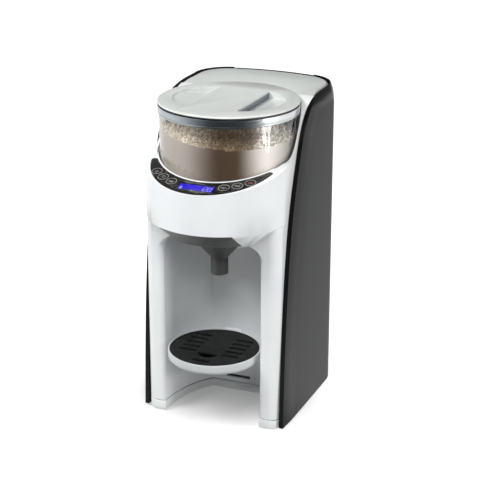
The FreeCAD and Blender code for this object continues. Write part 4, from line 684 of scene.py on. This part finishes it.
def at_bay(a, b):
    """The share of the round for the bay's opening in the legs' fronts; it sharpens up its arch."""
    for end in (a, b):
        if (abs(end.y - LEG_FRONT) > 0.1 or end.z > ARCH_TOP
                or not BAY_EDGE_INNER < abs(end.x) < BAY_EDGE_OUTER):
            return 0.0
    top = max(a.z, b.z)
    if abs(a.z - b.z) < 0.5 and top < SILL_BELOW:
        return 0.0
    return min(1.0, max(0.04, 1 - (top - SOFT_UP_TO) / SHARP_OVER))


def soften_body(piece):
    """Round the bay's edges, give the chin bands to shade softly over, and open the seam."""
    softened(piece, BAY_ROUND, at_bay)
    for height in CHIN_BANDS:
        with editing(piece):
            bpy.ops.mesh.bisect(plane_co=mm(0, 0, height), plane_no=(0, 0, 1))
    lifted(piece, box_mm("front_shell")[0].z, SEAM_OPENS)


def mould_shells():
    """The shells and outer fittings; the body's two parts open the seam between them."""
    for node, width in MOULDED.items():
        material = {"hopper_lid": LID, "tank_lid": DECK}.get(node, BY_SLOT[SLOT[node]])
        if node == "front_shell":
            body = moulded(node, material, width, soften_body, BODY_SKIN, BODY_SKIN)
            modified(body, "WEIGHTED_NORMAL", keep_sharp=True)
        elif node == "base_skirt":
            moulded(node, material, width, lambda foot: lifted(foot, box_mm(node)[1].z, -SEAM_OPENS))
        else:
            moulded(node, material, width)


# -------- ring, powder and what shows in the container
# mm: the lower bead's height and setback, the groove's depth, and the step under the lid
BEAD_TALL, BEAD_BEHIND, GROOVE_DEEP = 2.1, 0.3, 0.35
STEP_WIDE, STEP_TOP, STEP_FOOT = 4, 1.5, 2.5


def hopper_ring():
    """The silver ring: rounded shoulders and a shallow groove above its lower bead."""
    low, high = ring_low.z, ring_high.z
    bead, bead_top, step = RING_RADIUS - BEAD_BEHIND, low + BEAD_TALL, RING_BORE + STEP_WIDE
    band = turned("hopper_ring_band", [
        (RING_BORE, low, 0.4), (bead, low, 0.7), (bead, bead_top - 0.3, 0.2),
        (bead - GROOVE_DEEP, bead_top, 0), (RING_RADIUS, bead_top + 0.4, 0.2), (RING_RADIUS, high - STEP_TOP, 0.2),
        (step, high - STEP_TOP, 0.3), (step, high - STEP_FOOT, 0), (RING_BORE, high - STEP_FOOT, 0.3)],
        HOPPER_AXIS, 240)
    finished(band, "container", SILVER, ("hopper_ring",))


# mm: the line of the painted groove shade along the ring, each point as its place across and its height
LOCK_GROOVE_SHADE = ((49.0, 360.4), (57.0, 361.4), (59.4, 362.4), (60.0, 364.2))


def lock_groove_shade():
    """The bayonet's hooked groove as painted shade: a dark line along the ring that turns up to its edge, with a
    blunt start.
    """
    reach = RING_RADIUS - BEAD_BEHIND
    points = [(x, HOPPER_AXIS[1] - math.sqrt(reach ** 2 - x * x), z) for x, z in LOCK_GROOVE_SHADE]
    finished(line("lock_groove_shade", points, 1.0, (2.2, 1.0, 1.0, 1.0)), "container", GROOVE_SHADE)


BLOCK_BEARINGS = (math.radians(-56), math.radians(86))
# mm: half a block's width, how far it hangs below the ring, its thickness, and the step in its foot
BLOCK_HALF, BLOCK_DROP, BLOCK_THICK, BLOCK_STEP_WIDE, BLOCK_STEP_TALL = 9, 11.5, 2.4, 4.5, 3.2


def dark_blocks_under_ring():
    """Two dark rubber blocks inside the container, under the ring, each with a step in its foot."""
    outer, before = CONTAINER_INSIDE - 0.3, -90
    inner, low, high = outer - BLOCK_THICK, ring_low.z - BLOCK_DROP, ring_low.z - 0.4
    for count, bearing in enumerate(BLOCK_BEARINGS, 1):
        dark_block = turned("dark_ring_block_%d" % count,
                     [(inner, low, 0.3), (outer, low, 0.3), (outer, high, 0.3), (inner, high, 0.3)])
        room = block("block_room", (-BLOCK_HALF, before, low - 1), (BLOCK_HALF, 0, high + 1))
        dark_block = carved(dark_block, [room], "INTERSECT")
        step = block("block_step", (BLOCK_HALF - BLOCK_STEP_WIDE, before, low - 1), (BLOCK_HALF + 1, 0, low + BLOCK_STEP_TALL))
        dark_block = carved(dark_block, [step])
        dark_block.data.transform(Matrix.Translation(mm(*HOPPER_AXIS, 0)) @ Matrix.Rotation(bearing, 4, "Z"))
        finished(rounded(clean(dark_block), 0.3), "container", RUBBER)


# mm: the size of the heap's faces, the height of its middle, and the depth of the loose powder on it
POWDER_GRAIN, POWDER_MIDDLE, POWDER_LOOSE = 1.1, collar_low.z + 56, 3.0
# the way that the heap's tilted surface faces
POWDER_FACES = Matrix.Rotation(math.radians(6.5), 4, Vector((0.66, 0.75, 0))) @ Vector((0, 0, 1))
# the lumps in that surface: a name, and their width and height in mm
POWDER_LUMPS = (("heaps", 26, 4.0), ("clumps", 6.0, 2.0), ("crumbs", 2.6, 1.6))


def formula_powder():
    """A heap with a tilted, crumbly surface, as loose powder settles after a scoop."""
    low = box_mm("formula_powder")[0]
    # it presses into the clear wall by half a millimetre, so that no dark air gap shows at its sides
    foot, rim = CONTAINER_INSIDE - 0.3, CONTAINER_INSIDE + 0.5
    heap = turned("formula_powder_heap", [
        (0, low.z, 0), (foot, low.z, 0.5), (rim, ring_low.z, 0), (0, ring_low.z, 0)], HOPPER_AXIS, 120)
    middle = mm(*HOPPER_AXIS, POWDER_MIDDLE)
    with editing(heap):
        bpy.ops.mesh.bisect(plane_co=middle, plane_no=POWDER_FACES, use_fill=True, clear_outer=True)
    modified(heap, "REMESH", mode="VOXEL", voxel_size=POWDER_GRAIN * MM)
    top = heap.vertex_groups.new(name="surface")
    for vertex in heap.data.vertices:
        depth = (middle - vertex.co).dot(POWDER_FACES) / MM
        top.add([vertex.index], max(0.0, 1 - depth / POWDER_LOOSE), "REPLACE")
    for name, width, height in POWDER_LUMPS:
        cloud = bpy.data.textures.new(name, "CLOUDS")
        cloud.noise_scale = width * MM
        modified(heap, "DISPLACE", texture=cloud, direction="Z", texture_coords="LOCAL", strength=height * MM,
                 vertex_group="surface")
    heap.vertex_groups.clear()
    finished(heap, "container", POWDER, ("formula_powder",), smooth=50)


# -------- drip tray and its grid
# mm over the cup's foot: its floor and the top of the dark sheet on it, painted shade under the grid; and how far
# that sheet ends before the cup's side
CUP_FLOOR, SHADE_SHEET_TOP, SHADE_SHEET_INSET = 2.2, 2.6, 6.5


def drip_tray():
    """The white cup, with a thin rounded lip and a full round under its wall, and a dark sheet on its floor, painted
    shade that darkens what shows through the grid's slots.
    """
    low, high, inside = tray_low.z, tray_high.z, TRAY_RADIUS - TRAY_WALL
    floor, sheet_top, sheet_edge = low + CUP_FLOOR, low + SHADE_SHEET_TOP, TRAY_RADIUS - SHADE_SHEET_INSET
    cup = turned("drip_tray_cup", [
        (0, low, 0), (TRAY_RADIUS - 1.2, low, 3.6), (TRAY_RADIUS, low + 4.5, 0.6), (TRAY_RADIUS, high, 0.7),
        (inside, high, 0.7), (inside, floor, 3.5), (0, floor, 0)], TRAY_AXIS, 240)
    finished(cup, "tray", CUP, ("drip_tray",))
    shade_sheet = turned("tray_shade_sheet", [
        (0, floor, 0), (sheet_edge, floor, 0), (sheet_edge, sheet_top, 0.1), (0, sheet_top, 0)], TRAY_AXIS, 120)
    finished(shade_sheet, "tray", GRID)


# mm: a slot's size, the step between two rows, and the slots' places from the grid's middle
SLOT_LENGTH, SLOT_WIDTH, SLOT_PITCH, SLOT_SIDE, SLOT_FIRST, SLOT_FRONT = 22, 4.6, 11.1, 26, -16.3, -39
# mm: the radius of the finger hole, and how tall the tools are that cut the grid
LIFT_RADIUS, CUTTER_TALL = 12, 10
# mm: the grid's thickness and the depth of the step inside its rim; its feet's places and their radii
GRID_THICK, GRID_STEP, GRID_FEET, FOOT_END, FOOT_ROOT = 2.6, 0.5, 24, 2, 2.6


def slot_cutters(top):
    """A tool with round ends for each slot of the grid, whose top is given in mm."""
    slot = rod("slot_cutter", 24, SLOT_WIDTH / 2, CUTTER_TALL)
    drawn_out(slot, 0, (SLOT_LENGTH - SLOT_WIDTH) / 2)
    spots = [(side * SLOT_SIDE, SLOT_FIRST + row * SLOT_PITCH) for side in (-1, 1) for row in range(5)]
    cutters = []
    for x, y in spots + [(0, SLOT_FRONT)]:
        cutter = copied("slot_cut", slot.data)
        cutter.data.transform(Matrix.Translation(mm(x, TRAY_AXIS[1] + y, top)))
        cutters.append(cutter)
    bpy.data.objects.remove(slot)
    return cutters


def moon_cutter(top):
    """The tool for the half-moon finger hole: what lies of a cylinder between two planes."""
    middle = TRAY_AXIS[1] - LIFT_RADIUS - 5
    back = TRAY_AXIS[1] - 2 * LIFT_RADIUS + (LIFT_RADIUS + 1) / 2
    front = back - LIFT_RADIUS - 1
    moon = rod("moon_cutter", 64, LIFT_RADIUS, CUTTER_TALL, (0, middle, top))
    for edge, outside in ((front, "clear_inner"), (back, "clear_outer")):
        with editing(moon):
            bpy.ops.mesh.bisect(plane_co=mm(0, edge, 0), plane_no=(0, 1, 0), use_fill=True, **{outside: True})
    return moon


def drip_grid():
    """The slotted disc: a low rim, slots with round ends, a half-moon finger hole, and four feet that rest on the
    dark shade sheet.
    """
    top, low = grid_high.z, grid_high.z - GRID_THICK
    plate, root = top - GRID_STEP, low + 0.5
    disc = turned("drip_grid_plate", [
        (0, low, 0), (GRID_RADIUS, low, 0.3), (GRID_RADIUS, top, 0.5), (GRID_RADIUS - 2.2, top, 0.3),
        (GRID_RADIUS - 2.8, plate, 0.3), (0, plate, 0)], TRAY_AXIS, 200)
    disc = rounded(clean(carved(disc, slot_cutters(top) + [moon_cutter(top)])), 0.2, sharper_than=40)
    end = max(grid_low.z, tray_low.z + SHADE_SHEET_TOP + 0.02)
    pieces = [disc]
    for a, b in ((-1, -1), (-1, 1), (1, -1), (1, 1)):
        spot = (a * GRID_FEET, TRAY_AXIS[1] + b * GRID_FEET)
        pieces.append(turned("grid_foot", [
            (0, end, 0), (FOOT_END, end, 0.6), (FOOT_ROOT, root, 0), (0, root, 0)], spot, 32))
    finished(joined("drip_grid_plate", pieces), "grid", GRID, ("drip_grid",))


# -------- buttons and display
# the caps' circle: its radius and setback in mm, and the first cap and the step to the next in degrees
BUTTON_RING, BUTTON_SETBACK, BUTTON_FIRST, BUTTON_STEP = 82.6, 97, 21.8, 10
# mm over the slope: a cap's foot and rim, and the edge and the middle of its dish
CAP_FOOT, CAP_RIM, DISH_EDGE, DISH_MIDDLE = -4.6, 0.36, 0.16, 0.1
# mm: the printed outline's radii, foot, top and draft, and the height and width of the printed strokes
OUTLINE_INNER, OUTLINE_OUTER, OUTLINE_FOOT, OUTLINE_TOP, OUTLINE_DRAFT = 5.55, 6.05, 0.3, 0.42, 0.05
STROKE_HEIGHT, STROKE_WIDTH = 0.16, 0.42
# strokes on each cap in mm from its middle: plain pictures of up, down, amount, mix, warm and off
BUTTON_STROKES = {
    1: [((-2.4, -0.9), (0, 1.5), (2.4, -0.9)), ((-1.2, -1.9), (1.2, -1.9))],
    2: [((-2.4, 0.9), (0, -1.5), (2.4, 0.9)), ((-3.9, 0.2), (-3.6, 0.2)), ((-1.2, 1.9), (1.2, 1.9))],
    3: [((-3.4, -0.6), (-1.6, 0.4), (0.2, -0.4), (1.8, 0.4), (3.4, -0.2)), ((-2.4, -1.6), (2.2, -1.4))],
    4: [((-3.6, -0.4), (-2.2, 0.8), (-0.4, 0.1), (1.2, 0.9), (3.6, 0.0)), ((-1.4, -1.7), (1.4, -1.7))],
    5: [((-3.0, 0.5), (3.0, 0.9)), ((-2.6, -0.7), (2.8, -0.4))],
    6: [((-3.0, 0.1), (3.0, 0.1)), ((-2.2, -0.8), (2.4, -0.8))],
}


def button_spots():
    """Each cap's middle on the slope, left to right."""
    spots = []
    for hand, place in ((-1, 2), (-1, 1), (-1, 0), (1, 0), (1, 1), (1, 2)):
        bearing = math.radians(BUTTON_FIRST + place * BUTTON_STEP)
        back = BUTTON_SETBACK - BUTTON_RING * math.cos(bearing)
        spots.append((hand * BUTTON_RING * math.sin(bearing), back / math.cos(COLLAR_TILT)))
    return spots


def on_key(piece, count, place, material, replaced=()):
    """Put a button's piece into its place on the slope, where it moves with its key."""
    piece.data.transform(place)
    finished(piece, "key_%d" % count, material, replaced)


def buttons():
    """Six caps: a dished top inside a printed outline, and a small printed picture."""
    cap = turned("cap", [
        (0, CAP_FOOT, 0), (BUTTON_RADIUS, CAP_FOOT, 0.2), (BUTTON_RADIUS, CAP_RIM, 0.35),
        (BUTTON_RADIUS - 1.3, CAP_RIM, 0.3), (BUTTON_RADIUS - 2.4, DISH_EDGE, 0), (0, DISH_MIDDLE, 0)], steps=96)
    outline = turned("outline", [
        (OUTLINE_INNER, OUTLINE_FOOT, 0), (OUTLINE_OUTER, OUTLINE_FOOT, 0),
        (OUTLINE_OUTER - OUTLINE_DRAFT, OUTLINE_TOP, 0.05), (OUTLINE_INNER + OUTLINE_DRAFT, OUTLINE_TOP, 0.05)],
        steps=96)
    for count, (across, along) in enumerate(button_spots(), 1):
        place = on_slope(across, along)
        on_key(copied("button_cap_%d" % count, cap.data), count, place, BUTTON, ("button_%d" % count,))
        on_key(copied("button_outline_%d" % count, outline.data), count, place, PRINT)
        strokes = [line("stroke", [(x, y, STROKE_HEIGHT) for x, y in stroke], STROKE_WIDTH)
                   for stroke in BUTTON_STROKES[count]]
        ink = PRINT_RED if count == 6 else PRINT
        on_key(joined("button_picture_%d" % count, strokes), count, place, ink)
    for part in (cap, outline):
        bpy.data.objects.remove(part)


# mm: the display's middle up the slope and half of its sides, the lens's thickness, and the lit face behind it
DISPLAY_MIDDLE, DISPLAY_HALF, DISPLAY_TALL, LENS_THICK = 15.8, 20.5, 6.0, 0.6
FACE_INSET, FACE_FOOT, FACE_TOP = 0.3, -1.5, -1.14
# mm: a figure's size, its bars' width, thickness and the gap between them, and where the figures stand
FIGURE_TALL, FIGURE_WIDE, FIGURE_STROKE, FIGURE_THICK, BAR_GAP = 8.0, 3.3, 0.72, 0.12, 0.15
FIGURES_ALONG, FIGURE_FIRST, FIGURE_STEP, FIGURE_RISE = -1.2, 6.4, 4.5, -1.08
# how far a figure leans to the right, as a share of its height
FIGURE_LEAN = 0.14
# the seven bars of a figure: middle across, middle up, and whether the bar stands
BARS = {"top": (0.5, 1.0, False), "middle": (0.5, 0.5, False), "foot": (0.5, 0.0, False),
        "upper_left": (0.0, 0.75, True), "upper_right": (1.0, 0.75, True),
        "lower_left": (0.0, 0.25, True), "lower_right": (1.0, 0.25, True)}
FIGURES_SHOWN = {
    "1": ("upper_right", "lower_right"),
    "2": ("top", "upper_right", "middle", "lower_left", "foot"),
    "0": ("top", "upper_left", "upper_right", "lower_left", "lower_right", "foot"),
}
# mm: bars that lie apart, each as its middle and length: the unit's after the figures, and one under the drop
UNIT_BAR, DROP_BAR = ((19.1, -2.6), 1.6), ((0.6, -1.9), 4.4)
# mm: the drop's radius, how far its tip is drawn out, and its place from the display's left end and middle
DROP_RADIUS, DROP_TIP, DROP_PLACE = 1.25, (0.5, 2.4), (3.4, -2.6)


def figure_bar(middle, length, upright=False):
    """One pointed bar of a seven-bar figure."""
    bar = rod("bar", 6, FIGURE_STROKE / 2, FIGURE_THICK)
    drawn_out(bar, 1, (length - FIGURE_STROKE) / 2)
    if not upright:
        bar.data.transform(Matrix.Rotation(math.pi / 2, 4, "Z"))
    bar.data.transform(Matrix.Translation(mm(*middle, 0)))
    return bar


def figure(left, name):
    """The bars of one figure, whose left side is given in mm."""
    bars = []
    for bar in FIGURES_SHOWN[name]:
        across, up, upright = BARS[bar]
        y = (up - 0.5) * (FIGURE_TALL - FIGURE_STROKE)
        length = (FIGURE_TALL / 2 if upright else FIGURE_WIDE) - BAR_GAP
        bars.append(figure_bar((left + across * FIGURE_WIDE + y * FIGURE_LEAN, y), length, upright))
    return bars


def display():
    """A lit module under a clear lens, with plain figures and a small drop."""
    lens = block("display_lens", (-DISPLAY_HALF, -DISPLAY_TALL, -LENS_THICK), (DISPLAY_HALF, DISPLAY_TALL, 0))
    lens.data.transform(on_slope(0, DISPLAY_MIDDLE))
    finished(rounded(lens, 0.2), "base", LENS, ("lcd_window",))
    half, tall = DISPLAY_HALF - FACE_INSET, DISPLAY_TALL - FACE_INSET
    face = block("display_face", (-half, -tall, FACE_FOOT), (half, tall, FACE_TOP))
    face.data.transform(on_slope(0, DISPLAY_MIDDLE))
    finished(rounded(face, 0.1), "base", DISPLAY)
    bars = []
    for count, name in enumerate("120"):
        bars += figure(FIGURE_FIRST + count * FIGURE_STEP, name)
    figures = joined("display_figures", bars + [figure_bar(*UNIT_BAR)])
    figures.data.transform(on_slope(FIGURES_ALONG, DISPLAY_MIDDLE, FIGURE_RISE))
    finished(figures, "base", FIGURES)
    drop = rod("display_drop", 32, DROP_RADIUS, FIGURE_THICK)
    with editing(drop):
        pick(drop, lambda corner: corner.co.y > (DROP_RADIUS - 0.05) * MM)
        bpy.ops.transform.translate(value=mm(*DROP_TIP, 0), use_proportional_edit=True,
                                    proportional_size=1.6 * MM, proportional_edit_falloff="SMOOTH")
    drop = joined("display_drop", [drop, figure_bar(*DROP_BAR)])
    across, along = DROP_PLACE
    drop.data.transform(on_slope(-DISPLAY_HALF + across, DISPLAY_MIDDLE + along, FIGURE_RISE))
    finished(drop, "base", FIGURES)


# -------- finishes of the nodes that stay
def finish_nodes():
    """Give every node that isn't replaced the finish of its material slot."""
    for node, thing in frame["nodes"].items():
        material = BY_SLOT[SLOT[node]]
        if not thing.material_slots:
            thing.data.materials.append(material)
        for place in thing.material_slots:
            place.material = material


# -------- room, light and camera
CAMERA_PLACE = mm(627.0, -1480.6, 779.7)
CAMERA_TARGET = mm(13.3, -18.0, 204.3)
LENS_LENGTH = 111.45


def placed(thing, name, place, target):
    """A lamp or a camera at a place, aimed at a target."""
    standing = bpy.data.objects.new(name, thing)
    bpy.context.scene.collection.objects.link(standing)
    standing.location = place
    standing.rotation_euler = (target - place).to_track_quat("-Z", "Y").to_euler()
    return standing


def set_camera():
    """A long lens that looks a little down on the machine from its front right."""
    camera = bpy.data.cameras.new("camera")
    camera.lens, camera.clip_start, camera.clip_end = LENS_LENGTH, 0.05, 30
    bpy.context.scene.camera = placed(camera, "camera", CAMERA_PLACE, CAMERA_TARGET)


# each lamp's place in mm, its sides in metres and its power in watts
LAMPS = {"left": ((-1150, -1250, 1900), (1.0, 1.0), 46), "fill": ((500, -1600, 1950), (1.2, 1.0), 30.5),
         "kicker": ((1700, -150, 300), (0.5, 1.2), 20)}
LAMP_TARGET = mm(0, 0, 190)


def studio_light():
    """Two soft lamps high in front, to the left and the right, and a low one at the right side."""
    for name, (place, size, power) in LAMPS.items():
        lamp = bpy.data.lights.new(name, "AREA")
        lamp.shape, lamp.energy = "RECTANGLE", power
        lamp.size, lamp.size_y = size
        placed(lamp, name, mm(*place), LAMP_TARGET)


# the light that the floor adds to its own, at the machine and far from it
FLOOR_LIFT, FLOOR_LIFT_FAR = 0.2, 0.95
# mm: the painted shade under the machine, where the floor adds least glow: its middle, how far it stays darkest, and
# where it has gone
SHADE_MIDDLE, SHADE_INNER, SHADE_OUTER = (-20, 0), 40, 160
# degrees from the front to the right: the middle of the dark that glossy parts mirror; from there, where it ends
# and where it is brightest
DARK_BEARING, DARK_UP_TO, BRIGHT_FROM = 18, 8, 100
MIRRORED_DARK, MIRRORED_BRIGHT = 0.1, 1.3


def studio_floor():
    """A pale floor that runs far back; an added glow makes it look white, and less of that glow near the machine
    paints shade round its real shadow.

    For glossy rays it shows a painted glow instead: glossy parts mirror it dark in front and bright at both sides,
    as with white flats beside the machine."""
    bpy.ops.mesh.primitive_plane_add(size=14)
    floor = named("studio_floor")
    material, shader, place = finish_of("pale_floor", Roughness=0.9, Specular_IOR_Level=0.0)
    mottled(material, shader, place, 300, "#B2B2B1", "#B6B6B5")
    ray = add(material, "LightPath").outputs
    away = from_vectors(material, "LENGTH", from_vectors(material, "SUBTRACT", place, (*SHADE_MIDDLE, 0)))
    # painted shade: the floor's added glow drops near the machine
    lift = ranged(material, away, SHADE_INNER, SHADE_OUTER, FLOOR_LIFT, FLOOR_LIFT_FAR, "SMOOTHSTEP")
    glow = add(material, "Emission", {"Strength": lift}).outputs["Emission"]
    pale = add(material, "AddShader", {0: shader.outputs["BSDF"], 1: glow}).outputs["Shader"]
    dull = add(material, "BsdfDiffuse", {"Color": linear("#B2B2B2")}).outputs["BSDF"]
    spot = split(material, place)
    bearing = reckoned(material, "ARCTAN2", spot["X"], reckoned(material, "MULTIPLY", spot["Y"], -1.0))
    turn = reckoned(material, "SUBTRACT", bearing, math.radians(DARK_BEARING))
    level = ranged(material, reckoned(material, "ABSOLUTE", turn), math.radians(DARK_UP_TO),
                   math.radians(BRIGHT_FROM), MIRRORED_DARK, MIRRORED_BRIGHT, "SMOOTHSTEP")
    # painted reflection: the glow that glossy parts mirror in the floor
    mirrored = add(material, "Emission", {"Strength": level}).outputs["Emission"]
    seen = either(material, ray["Is Camera Ray"], dull, pale)
    wire(material, material.node_tree.nodes["Material Output"],
         Surface=either(material, ray["Is Glossy Ray"], seen, mirrored))
    material.cycles.emission_sampling = "NONE"
    floor.data.materials.append(material)


WORLD_LIGHT, WORLD_MIRRORED, WORLD_THROUGH, WORLD_SEEN = 0.12, 0.3, 0.35, 1.0


def studio_world():
    """A bright room for the camera; what lights, mirrors and passes through clear parts is dimmer."""
    world = bpy.data.worlds.new("studio")
    bpy.context.scene.world = world
    world.use_nodes = True
    background = world.node_tree.nodes["Background"]
    background.inputs["Color"].default_value = linear("#FFFFFF")
    ray = add(world, "LightPath").outputs
    level = WORLD_LIGHT
    for kind, strength in (("Glossy", WORLD_MIRRORED), ("Transmission", WORLD_THROUGH), ("Camera", WORLD_SEEN)):
        level = add(world, "Mix", {"Factor": ray["Is %s Ray" % kind], "A": level, "B": strength}).outputs["Result"]
    wire(world, background, Strength=level)


mould_shells()
hopper_ring()
lock_groove_shade()
dark_blocks_under_ring()
formula_powder()
drip_tray()
drip_grid()
buttons()
display()
finish_nodes()
studio_floor()
studio_world()
studio_light()
set_camera()
bpy.context.scene.view_settings.view_transform = "Standard"
